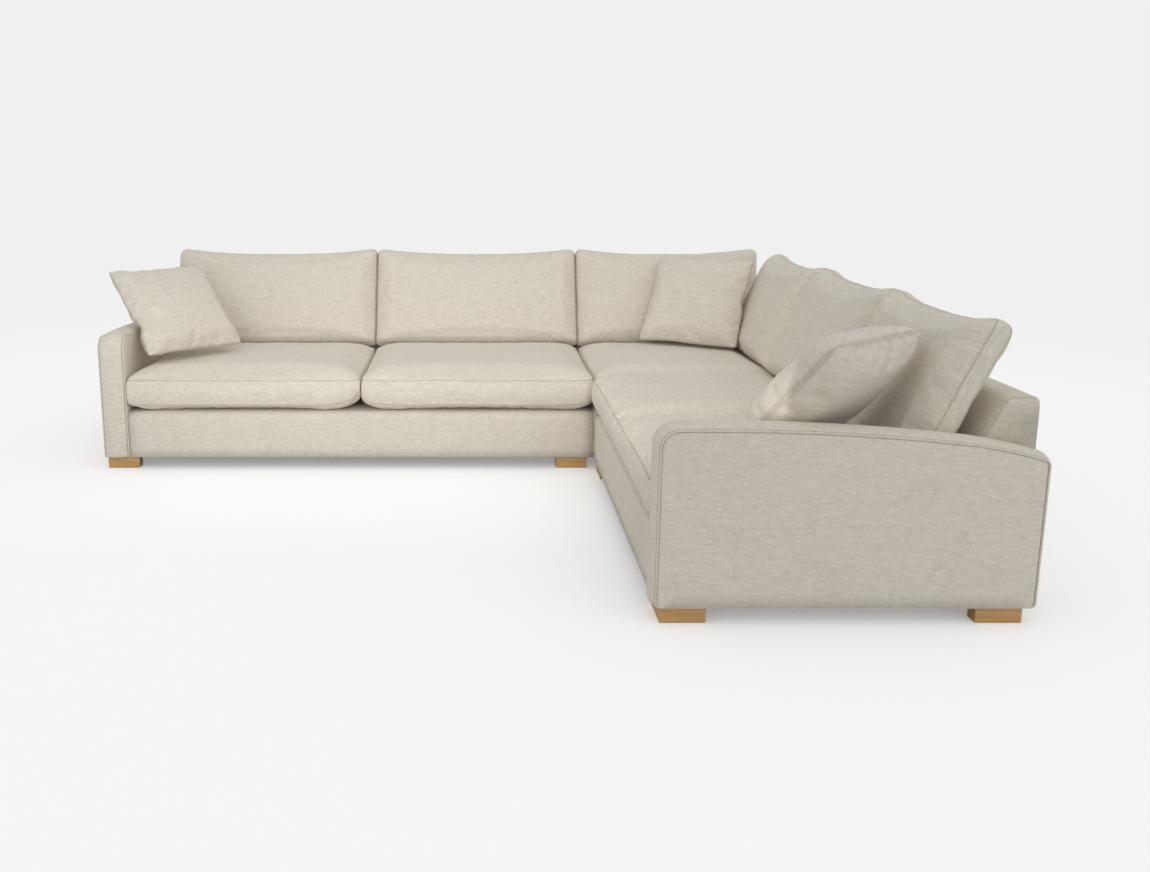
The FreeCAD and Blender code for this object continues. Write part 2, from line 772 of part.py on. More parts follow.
def back_cushion(label, width, place):
    """Boxed back cushion that leans: dog-eared top corners, dipped top edge, crowned face and rear."""
    gap = MM["cushion_gap"]
    border = MM["back_border"]
    belly = MM["back_belly"]
    rear = MM["back_rear_belly"]
    length = MM["back_length"]
    seam = MM["seam_ridge"]
    dip = MM["back_dip"] / width
    draw = MM["back_draw"]
    levels = [
        (-border - rear, 120), (-border - rear * 0.72, 48), (-border - rear * 0.34, 14),
        (-border - seam, seam), (-border, 0), (-border + seam, seam),
        (-seam, seam), (0, 0), (seam, seam), (belly * 0.36, 14), (belly * 0.66, 42),
        (belly * 0.88, 92), (belly, 160),
    ]
    sections = []
    for level, inset in levels:
        corner = 20 + inset * 0.3
        sections.append(cushion_outline(
            (gap + inset, inset * 0.8), (width - gap - inset, length - inset),
            corner, (draw, draw, dip, draw), level, (2, 2, 4, 2)))
    item = shaped(label, ruled_loft(sections))
    lean = Placement(
        Vector(0, MM["back_seam_foot"], MM["back_seam_level"]),
        Rotation(Vector(1, 0, 0), 90 - MM["back_lean"]))
    item.Placement = place.multiply(lean)
    return node(item, label)


def scatter_cushion(label, centre, turn, lean):
    """Knife-edged scatter cushion, drawn in between its pinched corners."""
    half = MM["scatter_size"] / 2
    thick = MM["scatter_half"]
    draws = (MM["scatter_draw"] / MM["scatter_size"],) * 4
    rise = [(0.0, 0), (0.2, 14), (0.5, 42), (0.8, 88), (1.0, 145)]
    levels = [(-share * thick, inset) for share, inset in reversed(rise)]
    levels += [(share * thick, inset) for share, inset in rise[1:]]
    sections = []
    for level, inset in levels:
        reach = half - inset
        corner = 10 + inset * 0.3
        sections.append(cushion_outline((-reach, -reach), (reach, reach), corner, draws, level))
    item = shaped(label, ruled_loft(sections))
    item.Placement = Placement(centre, Rotation(Vector(0, 0, 1), turn).multiply(Rotation(Vector(1, 0, 0), 90 - lean)))
    return node(item, label)


# Assembly of the three units

def unit(label, width, seats, springs_each, place):
    depth = CELL["run_depth"] - CELL["back_skirt"]
    base_frame(label + "_base_frame", width, seats, place)
    springs(label + "_seat_springs", width.number, seats, springs_each, place)
    base_cover(label + "_base_cover", width, depth, place)
    dust_cover(label + "_dust_cover", width, depth, place)


def low_back(label, width, bays, place):
    back_frame(label + "_frame", width, bays, place)
    back_webbing(label + "_webbing", width, 4, place)
    back_cover(label + "_cover", width, place)


def make_left_unit():
    width = CELL["wide_seat"] * 2
    place = to_left(-width.number)
    unit("left_unit", width, 2, 4, place)
    low_back("left_back", width, 4, place)
    arm_pieces("left", -MM["arm_width"], place)
    for number in range(2):
        spot = to_left(-MM["wide_seat"] * (2 - number))
        seat_cushion("left_seat_cushion_%d" % (number + 1), MM["wide_seat"], spot)
        back_cushion("left_back_cushion_%d" % (number + 1), MM["wide_seat"], spot)


def make_right_unit():
    width = CELL["narrow_seat"] * 2
    place = to_right(0)
    unit("right_unit", width, 2, 3, place)
    low_back("right_back", width, 4, place)
    arm_pieces("right", width.number, place)
    for number in range(2):
        spot = to_right(-MM["narrow_seat"] * number)
        seat_cushion("right_seat_cushion_%d" % (number + 1), MM["narrow_seat"], spot)
        back_cushion("right_back_cushion_%d" % (number + 1), MM["narrow_seat"], spot)


def make_corner_unit():
    side = CELL["run_depth"]
    place = to_left(0)
    unit("corner_unit", side - CELL["back_skirt"], 1, 4, place)
    low_back("corner_rear_back", side, 2, place)
    corner_side_back(side)
    seat_cushion("corner_seat_cushion", MM["seat_depth"], place, MM["cushion_gap"])
    back_cushion("corner_rear_back_cushion", MM["corner_back_width"], place)
    back_cushion("corner_side_back_cushion", MM["narrow_seat"], to_right(MM["narrow_seat"]))


def corner_side_back(side):
    """Low back of the corner's right side; its far end is cut to the slope of the rear one."""
    clear = CELL["back_foot"] - CELL["cushion_gap"]
    back_frame("corner_side_back_frame", clear, 2, to_right(clear.number))
    back_webbing("corner_side_back_webbing", clear, 4, to_right(clear.number))
    rear = new_body("rear_back_outline")
    outline = sketch_on(rear, "YZ_Plane", [back_profile(0, True)], "rear_back_outline_side")
    pad(rear, outline, side, "rear_back_outline_pad")
    turned = to_right(side.number).inverse()
    rear.Placement = turned
    back_cover("corner_side_back_cover", side, to_right(side.number), rear)


def make_scatters():
    left_end = -(2 * MM["wide_seat"] + MM["arm_width"])
    near_end = -(2 * MM["narrow_seat"] + MM["arm_width"])
    left = Vector(left_end + MM["left_scatter_along"], MM["left_scatter_depth"], MM["left_scatter_height"])
    scatter_cushion("left_scatter_cushion", left, MM["left_scatter_turn"], MM["left_scatter_lean"])
    right = Vector(MM["right_scatter_depth"], near_end + MM["right_scatter_along"], MM["right_scatter_height"])
    scatter_cushion("right_scatter_cushion", right, MM["right_scatter_turn"], MM["right_scatter_lean"])
    corner = Vector(MM["corner_scatter_along"], MM["corner_scatter_depth"], MM["corner_scatter_height"])
    scatter_cushion("corner_scatter_cushion", corner, MM["corner_scatter_turn"], MM["corner_scatter_lean"])


def centre_on_footprint():
    """Move the origin from the inner corner to the middle of the footprint."""
    whole = FreeCAD.BoundBox()
    for item in NODES:
        whole.add(item.Shape.BoundBox)
    shift = Placement(Vector(-whole.Center.x, -whole.Center.y, 0), Rotation())
    for item in NODES:
        item.Placement = shift.multiply(item.Placement)
    DOC.recompute()


def check_and_write():
    for item in DOC.Objects:
        if "Invalid" in item.State or "Error" in item.State:
            raise RuntimeError("%s is in state %s" % (item.Name, item.State))
    os.makedirs("parts", exist_ok=True)
    for item in NODES:
        if item.Shape.isNull() or not item.Shape.isValid():
            raise RuntimeError("%s has no valid shape" % item.Label)
    for item in NODES:
        item.Shape.exportStep("parts/%s.step" % item.Label)


make_feet_and_fasteners()
make_joining_plates()
make_left_unit()
make_corner_unit()
make_right_unit()
make_scatters()
DOC.recompute()
centre_on_footprint()
check_and_write()
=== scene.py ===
import math
from collections import namedtuple

import bmesh
import bpy
from bpy.props import FloatProperty, FloatVectorProperty, PointerProperty
from bpy.types import Operator, Panel, PropertyGroup
from mathutils import Matrix, Vector, noise
from mathutils.bvhtree import BVHTree


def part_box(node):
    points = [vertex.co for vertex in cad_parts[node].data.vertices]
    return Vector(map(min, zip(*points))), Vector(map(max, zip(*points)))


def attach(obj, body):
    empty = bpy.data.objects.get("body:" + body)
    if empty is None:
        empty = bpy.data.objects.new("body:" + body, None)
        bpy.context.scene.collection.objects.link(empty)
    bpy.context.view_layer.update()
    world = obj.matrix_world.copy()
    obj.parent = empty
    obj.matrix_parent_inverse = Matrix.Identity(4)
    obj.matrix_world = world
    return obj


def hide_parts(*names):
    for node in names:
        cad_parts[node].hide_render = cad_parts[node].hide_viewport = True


bl_info = {
    "name": "Corner Sofa",
    "version": (1, 0, 0),
    "blender": (4, 5, 0),
    "location": "View3D > Sidebar > Sofa",
    "description": "Dresses the frame of a corner sofa with its cushions, covers, feet and studio",
    "category": "Object",
}

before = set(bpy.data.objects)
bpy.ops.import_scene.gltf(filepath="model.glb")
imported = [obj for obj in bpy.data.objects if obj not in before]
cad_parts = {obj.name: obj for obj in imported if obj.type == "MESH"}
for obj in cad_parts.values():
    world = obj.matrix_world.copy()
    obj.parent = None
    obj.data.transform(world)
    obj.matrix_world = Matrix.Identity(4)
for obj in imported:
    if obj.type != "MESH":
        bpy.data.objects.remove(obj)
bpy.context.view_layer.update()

# The inner corner is where the fronts of the two runs meet. Each run is built in its own
# coordinates: x along the seats, y towards the back, z up from the floor.
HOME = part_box("corner_unit_base_cover")[0]
WIDE = (HOME.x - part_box("left_unit_base_cover")[0].x) / 2
NARROW = (HOME.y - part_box("right_unit_base_cover")[0].y) / 2
RUN_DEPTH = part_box("left_back_cover")[1].y - HOME.y
BASE_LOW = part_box("corner_unit_base_cover")[0].z
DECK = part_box("corner_unit_base_cover")[1].z
BACK_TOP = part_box("left_back_cover")[1].z
SEAT_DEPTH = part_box("corner_seat_cushion")[1].x - HOME.x
ARM_WIDTH = 0.105
BACKDROP = (0.87, 0.87, 0.87, 1)
SKIRT = 0.006

# Where a low back's slope starts on the deck and meets its top, from the front of the run.
BACK_FOOT = 0.772
BACK_SHOULDER = 0.964


class SofaSizes(PropertyGroup):
    """Sizes of the upholstery."""
    lower_seam: FloatProperty(
        name="Lower seam", description="Height of the seat cushions' lower seam",
        default=0.269, unit="LENGTH")
    upper_seam: FloatProperty(
        name="Upper seam", description="Height of the seat cushions' upper seam",
        default=0.373, unit="LENGTH")
    seat_crown: FloatProperty(
        name="Seat crown", description="Rise of a seat cushion above its upper seam",
        default=0.034, unit="LENGTH")
    seat_belly: FloatProperty(
        name="Seat belly", description="Fall of a seat cushion below its lower seam",
        default=0.026, unit="LENGTH")
    seat_corner: FloatProperty(
        name="Seat corner", description="Corner radius of a seat cushion", default=0.045, unit="LENGTH")
    back_lean: FloatProperty(
        name="Back lean", description="How far the back cushions lean",
        default=math.radians(25), unit="ROTATION")
    back_foot: FloatProperty(
        name="Back foot", description="Depth of a back cushion's front seam on the seat", default=0.717,
        unit="LENGTH")
    back_level: FloatProperty(
        name="Back level", description="Height of a back cushion's front seam on the seat", default=0.4025,
        unit="LENGTH")
    back_length: FloatProperty(
        name="Back length", description="Length of a back cushion up its slope",
        default=0.48, unit="LENGTH")
    back_border: FloatProperty(
        name="Back border", description="Width of a back cushion's border", default=0.05, unit="LENGTH")
    back_crown: FloatProperty(
        name="Back crown", description="Rise of a back cushion's face", default=0.056, unit="LENGTH")
    back_rear: FloatProperty(
        name="Back rear", description="Rise of a back cushion's rear", default=0.032, unit="LENGTH")
    back_dip: FloatProperty(
        name="Back dip", description="Dip of a back cushion's top edge", default=0.03, unit="LENGTH")
    corner_back: FloatProperty(
        name="Corner back", description="Width of the corner's rear back cushion",
        default=0.845, unit="LENGTH")
    back_corner: FloatProperty(
        name="Back corner", description="Radius of a back cushion's top corners",
        default=0.04, unit="LENGTH")
    scatter: FloatProperty(
        name="Scatter", description="Side of a scatter cushion", default=0.45, unit="LENGTH")
    arm_crown: FloatProperty(
        name="Arm crown", description="Rise of an arm's border between its welts",
        default=0.0125, unit="LENGTH")
    base_edge: FloatProperty(
        name="Base edge", description="Radius along the top of the base's front",
        default=0.03, unit="LENGTH")


class SofaFinishes(PropertyGroup):
    """Colours and scales of the fabric and the oak."""
    pale_thread: FloatVectorProperty(
        name="Pale thread", description="Colour of the pale slubs", subtype="COLOR", size=3,
        default=(0.83, 0.775, 0.68))
    dark_thread: FloatVectorProperty(
        name="Dark thread", description="Colour between the slubs", subtype="COLOR", size=3,
        default=(0.60, 0.55, 0.475))
    thread: FloatProperty(
        name="Thread", description="Repeat of the weave", default=0.0046, unit="LENGTH")
    oak_pale: FloatVectorProperty(
        name="Pale oak", description="Colour of the oak's early wood", subtype="COLOR", size=3,
        default=(0.62, 0.375, 0.155))
    oak_dark: FloatVectorProperty(
        name="Dark oak", description="Colour of the oak's grain", subtype="COLOR", size=3,
        default=(0.44, 0.245, 0.09))


class SofaStudio(PropertyGroup):
    """Camera and lamps."""
    lens: FloatProperty(name="Lens", description="Focal length in millimetres", default=32.65)
    pitch: FloatProperty(
        name="Pitch", description="How far the camera looks down",
        default=math.radians(11.08), unit="ROTATION")
    shift: FloatVectorProperty(
        name="Shift", description="Shift of the lens", size=2, default=(0.0911, -0.0603))
    camera: FloatVectorProperty(
        name="Camera", description="Camera's place from the inner corner", size=3, subtype="XYZ_LENGTH",
        default=(-0.5089, -4.1633, 1.246))
    key: FloatProperty(name="Key lamp", description="Power of the key lamp in watts", default=4.4)
    fill: FloatProperty(name="Fill", description="Strength of the light from all round", default=0.525)
    slant: FloatVectorProperty(
        name="Slant", description="How much stronger the light is from each way", size=3,
        default=(0.05, -0.18, 0.33))


def finishes():
    return bpy.context.scene.sofa_finishes


def to_left(along):
    """Place of a piece of the left run, by where it starts."""
    return Matrix.Translation((HOME.x + along, HOME.y, 0))


def to_right(far_end):
    """Place of a piece of the right run: its x runs from the corner towards the near arm."""
    return Matrix.Translation((HOME.x, HOME.y + far_end, 0)) @ Matrix.Rotation(-math.pi / 2, 4, "Z")


# Node helpers

def new_node(tree, kind, **settings):
    node = tree.nodes.new(kind)
    for name, value in settings.items():
        setattr(node, name, value)
    return node


def math_node(tree, operation, first, second=None, third=None):
    node = new_node(tree, "ShaderNodeMath", operation=operation)
    for socket, value in zip(node.inputs, (first, second, third)):
        if value is not None:
            feed(tree, socket, value)
    return node.outputs[0]


def feed(tree, socket, value):
    """Give a socket a plain value, or link it to another socket."""
    if isinstance(value, bpy.types.NodeSocket):
        tree.links.new(value, socket)
    else:
        socket.default_value = value


def mixed(tree, factor, first, second, kind="RGBA", **settings):
    """The blend of two values or colours."""
    node = new_node(tree, "ShaderNodeMix", data_type=kind, **settings)
    for label, value in (("Factor", factor), ("A", first), ("B", second)):
        feed(tree, node.inputs[label], value)
    return node.outputs["Result"]


def bumped(tree, height, strength, distance, normal=None):
    """A normal raised by a height, over another normal where one is given."""
    node = new_node(tree, "ShaderNodeBump")
    node.inputs["Strength"].default_value = strength
    node.inputs["Distance"].default_value = distance
    tree.links.new(height, node.inputs["Height"])
    if normal:
        tree.links.new(normal, node.inputs["Normal"])
    return node.outputs["Normal"]


def split(tree, vector):
    """The three numbers of a vector."""
    node = new_node(tree, "ShaderNodeSeparateXYZ")
    tree.links.new(vector, node.inputs[0])
    return node.outputs


def new_material(name):
    """A material with its node tree and its Principled shader."""
    material = bpy.data.materials.new(name)
    material.use_nodes = True
    tree = material.node_tree
    return material, tree, tree.nodes["Principled BSDF"]


def new_group(name, inputs, outputs):
    """A shader node group with named sockets; returns it with its input and output nodes."""
    tree = bpy.data.node_groups.new(name, "ShaderNodeTree")
    for label, kind, value in inputs:
        socket = tree.interface.new_socket(label, in_out="INPUT", socket_type="NodeSocket" + kind)
        if value is not None:
            socket.default_value = value
    for label, kind in outputs:
        tree.interface.new_socket(label, in_out="OUTPUT", socket_type="NodeSocket" + kind)
    return tree, tree.nodes.new("NodeGroupInput"), tree.nodes.new("NodeGroupOutput")


def stretched_noise(tree, across, up, width, height, detail, seed):
    """Noise whose patches are width by height metres."""
    place = new_node(tree, "ShaderNodeCombineXYZ")
    tree.links.new(math_node(tree, "DIVIDE", across, width), place.inputs[0])
    tree.links.new(math_node(tree, "DIVIDE", up, height), place.inputs[1])
    place.inputs[2].default_value = seed
    patch = new_node(tree, "ShaderNodeTexNoise")
    patch.inputs["Scale"].default_value = 1.0
    patch.inputs["Detail"].default_value = detail
    tree.links.new(place.outputs[0], patch.inputs["Vector"])
    return patch.outputs["Fac"]


def slub_rows(tree, along, across, pitch, length, seed):
    """Slubs that keep to their own thread: noise along each thread, another noise on the next one."""
    thread = math_node(tree, "FLOOR", math_node(tree, "DIVIDE", across, pitch))
    return stretched_noise(tree, along, thread, length, 0.137, 1.0, seed)


def weave_group():
    """Slubby basket weave on a piece's own map in metres."""
    tree, given, result = new_group(
        "Slubby weave",
        [("Vector", "Vector", None), ("Thread", "Float", 0.0046), ("Pale", "Color", None),
         ("Dark", "Color", None)],
        [("Color", "Color"), ("Height", "Float")])
    across, up, _ = split(tree, given.outputs["Vector"])
    turns = math_node(tree, "DIVIDE", 2 * math.pi, given.outputs["Thread"])
    weft = math_node(tree, "SINE", math_node(tree, "MULTIPLY", across, turns))
    warp = math_node(tree, "SINE", math_node(tree, "MULTIPLY", up, turns))
    basket = math_node(tree, "MULTIPLY", weft, warp)
    pitch = math_node(tree, "MULTIPLY", given.outputs["Thread"], 0.75)
    slubs = slub_rows(tree, across, up, pitch, 0.026, 1.7)
    uprights = slub_rows(tree, up, across, pitch, 0.014, 5.3)
    flecks = stretched_noise(tree, across, up, 0.005, 0.004, 1.0, 9.1)
    blotches = stretched_noise(tree, across, up, 0.16, 0.12, 2.0, 3.9)
    share = 0.5
    for patches, weight in ((slubs, 1.5), (uprights, 1.0), (flecks, 0.3), (blotches, 0.15)):
        share = math_node(tree, "MULTIPLY_ADD", math_node(tree, "SUBTRACT", patches, 0.5), weight, share)
    share = math_node(tree, "MULTIPLY_ADD", basket, 0.8, share)
    colour = mixed(tree, share, given.outputs["Dark"], given.outputs["Pale"], clamp_factor=True)
    tree.links.new(colour, result.inputs["Color"])
    height = math_node(tree, "MULTIPLY_ADD", basket, 0.6, math_node(tree, "MULTIPLY", slubs, 1.3))
    tree.links.new(math_node(tree, "ADD", height, uprights), result.inputs["Height"])


def seam_group():
    """Sewn seam: a sunk groove, and painted shade that darkens the colour along it, by the distance from
    the seam in metres.
    """
    tree, given, result = new_group(
        "Sewn seam",
        [("Distance", "Float", 1.0), ("Crease", "Float", 0.0016)],
        [("Shade", "Float"), ("Height", "Float")])
    near = math_node(tree, "DIVIDE", given.outputs["Distance"], given.outputs["Crease"])
    fall = math_node(tree, "MULTIPLY", math_node(tree, "MULTIPLY", near, near), -1.0)
    # The fall-off from the seam gives both the sunk height and the painted shade mask.
    crease_and_painted_shade = math_node(tree, "POWER", 2.0, fall)
    tree.links.new(crease_and_painted_shade, result.inputs["Shade"])
    tree.links.new(math_node(tree, "MULTIPLY", crease_and_painted_shade, -1.0), result.inputs["Height"])


def linen():
    """Oatmeal linen weave that follows a piece's own maps."""
    finish = finishes()
    material, tree, shader = new_material("linen")
    cloth_map = new_node(tree, "ShaderNodeUVMap", uv_map="weave")
    weave = new_node(tree, "ShaderNodeGroup", node_tree=bpy.data.node_groups["Slubby weave"])
    tree.links.new(cloth_map.outputs[0], weave.inputs["Vector"])
    weave.inputs["Thread"].default_value = finish.thread
    weave.inputs["Pale"].default_value = (*finish.pale_thread, 1)
    weave.inputs["Dark"].default_value = (*finish.dark_thread, 1)
    seam_map = new_node(tree, "ShaderNodeUVMap", uv_map="seam")
    seam = new_node(tree, "ShaderNodeGroup", node_tree=bpy.data.node_groups["Sewn seam"])
    tree.links.new(split(tree, seam_map.outputs[0])[1], seam.inputs["Distance"])
    # Painted shade: this tint is multiplied into the weave colour along every seam, standing in for the
    # shadow in the sunk seam.
    crease_and_painted_shade = (0.8, 0.78, 0.75, 1)
    colour = mixed(tree, seam.outputs["Shade"], weave.outputs["Color"], crease_and_painted_shade, blend_type="MULTIPLY")
    normal = bumped(tree, weave.outputs["Height"], 0.5, 0.0007)
    normal = bumped(tree, seam.outputs["Height"], 0.8, 0.002, normal)
    tree.links.new(colour, shader.inputs["Base Color"])
    tree.links.new(normal, shader.inputs["Normal"])
    shader.inputs["Roughness"].default_value = 0.85
    shader.inputs["Specular IOR Level"].default_value = 0.25
    shader.inputs["Sheen Weight"].default_value = 0.12
    shader.inputs["Sheen Roughness"].default_value = 0.5
    return material


def oak():
    """Oiled oak whose grain runs along each leg of a foot."""
    finish = finishes()
    material, tree, shader = new_material("oiled_oak")
    place = new_node(tree, "ShaderNodeTexCoord")
    x, y, z = split(tree, place.outputs["Object"])
    facing = split(tree, place.outputs["Normal"])
    sideways = math_node(tree, "GREATER_THAN", math_node(tree, "ABSOLUTE", facing[0]), 0.7)
    along = mixed(tree, sideways, x, y, "FLOAT")
    across = mixed(tree, sideways, y, x, "FLOAT")
    level = math_node(tree, "MULTIPLY_ADD", across, 0.4, z)
    grain = stretched_noise(tree, along, level, 0.16, 0.006, 4.0, 2.0)
    pores = stretched_noise(tree, along, level, 0.02, 0.0009, 2.0, 6.0)
    share = math_node(tree, "MULTIPLY_ADD", math_node(tree, "SUBTRACT", grain, 0.5), 2.4, 0.62)
    share = math_node(tree, "MULTIPLY_ADD", math_node(tree, "SUBTRACT", pores, 0.5), 0.9, share)
    colour = mixed(tree, share, (*finish.oak_dark, 1), (*finish.oak_pale, 1), clamp_factor=True)
    tree.links.new(colour, shader.inputs["Base Color"])
    tree.links.new(bumped(tree, pores, 0.35, 0.0004), shader.inputs["Normal"])
    shader.inputs["Roughness"].default_value = 0.45
    return material


def plain_stuff(name, pale, dark, patch, roughness, metallic=0.0, relief=0.0003):
    """A hidden piece's material: two tones in patches of a given size, with a little relief."""
    material, tree, shader = new_material(name)
    place = new_node(tree, "ShaderNodeTexCoord")
    stretch = new_node(tree, "ShaderNodeMapping")
    stretch.inputs["Scale"].default_value = [1 / length for length in patch]
    tree.links.new(place.outputs["Object"], stretch.inputs["Vector"])
    cloud = new_node(tree, "ShaderNodeTexNoise")
    cloud.inputs["Scale"].default_value = 1.0
    cloud.inputs["Detail"].default_value = 4.0
    tree.links.new(stretch.outputs["Vector"], cloud.inputs["Vector"])
    colour = mixed(tree, cloud.outputs["Fac"], (*dark, 1), (*pale, 1))
    tree.links.new(colour, shader.inputs["Base Color"])
    tree.links.new(bumped(tree, cloud.outputs["Fac"], 0.4, relief), shader.inputs["Normal"])
    shader.inputs["Roughness"].default_value = roughness
    shader.inputs["Metallic"].default_value = metallic
    return material


def material_of(name):
    """A finish by name, made when it is first asked for."""
    made = bpy.data.materials.get(name)
    if made:
        return made
    if "Slubby weave" not in bpy.data.node_groups:
        weave_group()
        seam_group()
    makers = {
        "linen": linen,
        "oiled_oak": oak,
        "frame_timber": lambda: plain_stuff(
            "frame_timber", (0.58, 0.42, 0.24), (0.42, 0.28, 0.15), (0.3, 0.02, 0.01), 0.7),
        "webbing": lambda: plain_stuff(
            "webbing", (0.36, 0.28, 0.17), (0.2, 0.15, 0.09), (0.004, 0.004, 0.03), 0.9, 0.0, 0.001),
        "spring_wire": lambda: plain_stuff(
            "spring_wire", (0.2, 0.2, 0.21), (0.1, 0.1, 0.105), (0.01, 0.01, 0.01), 0.35, 1.0),
        "zinc_steel": lambda: plain_stuff(
            "zinc_steel", (0.62, 0.62, 0.6), (0.48, 0.48, 0.47), (0.006, 0.006, 0.006), 0.35, 1.0),
        "lining": lambda: plain_stuff(
            "lining", (0.03, 0.03, 0.032), (0.012, 0.012, 0.013), (0.003, 0.003, 0.003), 0.95, 0.0, 0.0005),
    }
    return makers[name]()


# Mesh helpers

def edges_along(mesh, axis):
    found = []
    for edge in mesh.edges:
        run = edge.verts[1].co - edge.verts[0].co
        if abs(run[axis]) > 0.999 * run.length:
            found.append(edge)
    return found


def gridded_box(size, counts, crowding=0.5):
    """A closed box cut into cells that crowd towards its edges, its middle at the origin."""
    mesh = bmesh.new()
    bmesh.ops.create_cube(mesh, size=2.0)
    for axis in range(3):
        if counts[axis] > 1:
            bmesh.ops.subdivide_edges(
                mesh, edges=edges_along(mesh, axis), cuts=counts[axis] - 1, use_grid_fill=True)
    half = Vector(size) / 2
    for vert in mesh.verts:
        for axis in range(3):
            share = vert.co[axis]
            if axis < 2:
                share += crowding * math.sin(math.pi * share) / math.pi
            vert.co[axis] = share * half[axis]
    mesh.normal_update()
    return mesh


def lay_maps(mesh, half=None, shift=0.0):
    """Weave map in metres on every face by the way it faces, and the distance from the nearest seam."""
    weave = mesh.loops.layers.uv.new("weave")
    seam = mesh.loops.layers.uv.new("seam")
    for face in mesh.faces:
        facing = [abs(value) for value in face.normal]
        axis = facing.index(max(facing))
        across, up = ((1, 2), (0, 2), (0, 1))[axis]
        for loop in face.loops:
            spot = loop.vert.co
            loop[weave].uv = (spot[across] + shift, spot[up] + shift * 1.7)
            if half is None:
                loop[seam].uv = (0, 1)
            elif axis == 2:
                inside = min(half.x - abs(spot.x), half.y - abs(spot.y))
                loop[seam].uv = (spot[across], max(inside, 0))
            else:
                loop[seam].uv = (spot[across], max(half.z - abs(spot.z), 0))


def roll(inside, reach):
    """Height of a quarter round: 0 on the seam, 1 from reach inwards."""
    share = 1 - min(max(inside, 0) / reach, 1)
    return math.sqrt(1 - share * share)


def rounded_plan(x, y, half, radius):
    """Bring a point near a corner of a rectangle onto the corner's curve."""
    over_x = abs(x) - (half.x - radius)
    over_y = abs(y) - (half.y - radius)
    if over_x > 0 and over_y > 0:
        shrink = max(over_x, over_y) / math.hypot(over_x, over_y)
        x = math.copysign(half.x - radius + over_x * shrink, x)
        y = math.copysign(half.y - radius + over_y * shrink, y)
    return x, y


def piece_from(mesh, name, place, material):
    """Turn a finished mesh into a piece with its place in the mesh."""
    data = bpy.data.meshes.new(name)
    mesh.to_mesh(data)
    mesh.free()
    data.transform(place)
    for polygon in data.polygons:
        polygon.use_smooth = True
    data.materials.append(material_of(material))
    piece = bpy.data.objects.new(name, data)
    bpy.context.collection.objects.link(piece)
    return piece


def smooth_finish(piece):
    finish = piece.modifiers.new("Finish", "SUBSURF")
    finish.levels = 1
    finish.render_levels = 1


# Cushions

Waiting = namedtuple("Waiting", "piece place body node slot limits gathered spread")
WAITING = []


def seat_form(half, look, corner_lift):
    """Boxed seat cushion: crowned top, soft belly, bowed border, corners turned up at the lower seam."""
    reach_top = 0.066
    reach_rear = 0.17
    reach_low = 0.10

    def form(spot):
        radius = look.seat_corner if corner_lift[spot.x > 0] > 0.005 else 0.02
        x, y = rounded_plan(spot.x, spot.y, half, radius)
        across, along, up = spot.x / half.x, spot.y / half.y, spot.z / half.z
        z = spot.z
        inside_x, inside_y = half.x - abs(spot.x), half.y - abs(spot.y)
        if up > 0.999:
            rise = roll(inside_x, reach_top) * roll(inside_y, reach_top if along < 0 else reach_rear)
            z += look.seat_crown * (0.8 * rise + 0.2 * (1 - across ** 2) * (1 - along ** 2))
        if up < -0.999:
            z -= look.seat_belly * roll(inside_x, reach_low) * roll(inside_y, reach_low)
        bow = 0.011 * (1 - up * up)
        if inside_x < 1e-5:
            x += math.copysign(bow, x)
        if inside_y < 1e-5:
            y += math.copysign(bow, y)
        x -= 0.004 * across ** 3 * (1 - along ** 2)
        y -= 0.004 * along ** 3 * (1 - across ** 2)
        front = max(0.0, -along) ** 3
        side = 0 if across < 0 else 1
        turned_up = max(0.0, (abs(across) - 0.62) / 0.38) ** 2.2
        z += corner_lift[side] * turned_up * front * (1 - up) / 2
        return Vector((x, y, z))
    return form


def back_form(half, look):
    """Back cushion: full rolls round a crowned face, dog-eared corners, a dipped top and a deep foot."""
    edge, foot = 0.072, 0.02

    def form(spot):
        across, along, up = spot.x / half.x, spot.y / half.y, spot.z / half.z
        x, y = rounded_plan(spot.x, spot.y, half, look.back_corner if along > 0 else look.back_corner / 2)
        z = spot.z
        inside_x, inside_y = half.x - abs(spot.x), half.y - abs(spot.y)
        reach = edge if along > 0 else foot
        rolled = roll(inside_x, edge) * roll(inside_y, reach)
        dome = (1 - across ** 2) * (1 - along ** 2)
        if up > 0.999:
            z += look.back_crown * (0.8 * rolled + 0.2 * dome)
        if up < -0.999:
            z -= look.back_rear * (0.7 * rolled + 0.3 * dome)
        bow = 0.004 * (1 - up * up)
        if inside_x < 1e-5:
            x += math.copysign(bow, x)
        if inside_y < 1e-5:
            y += math.copysign(bow, y)
        y -= look.back_dip * (1 - abs(across) ** 2.6) * max(0.0, along) ** 1.5
        return Vector((x, y, z))
    return form


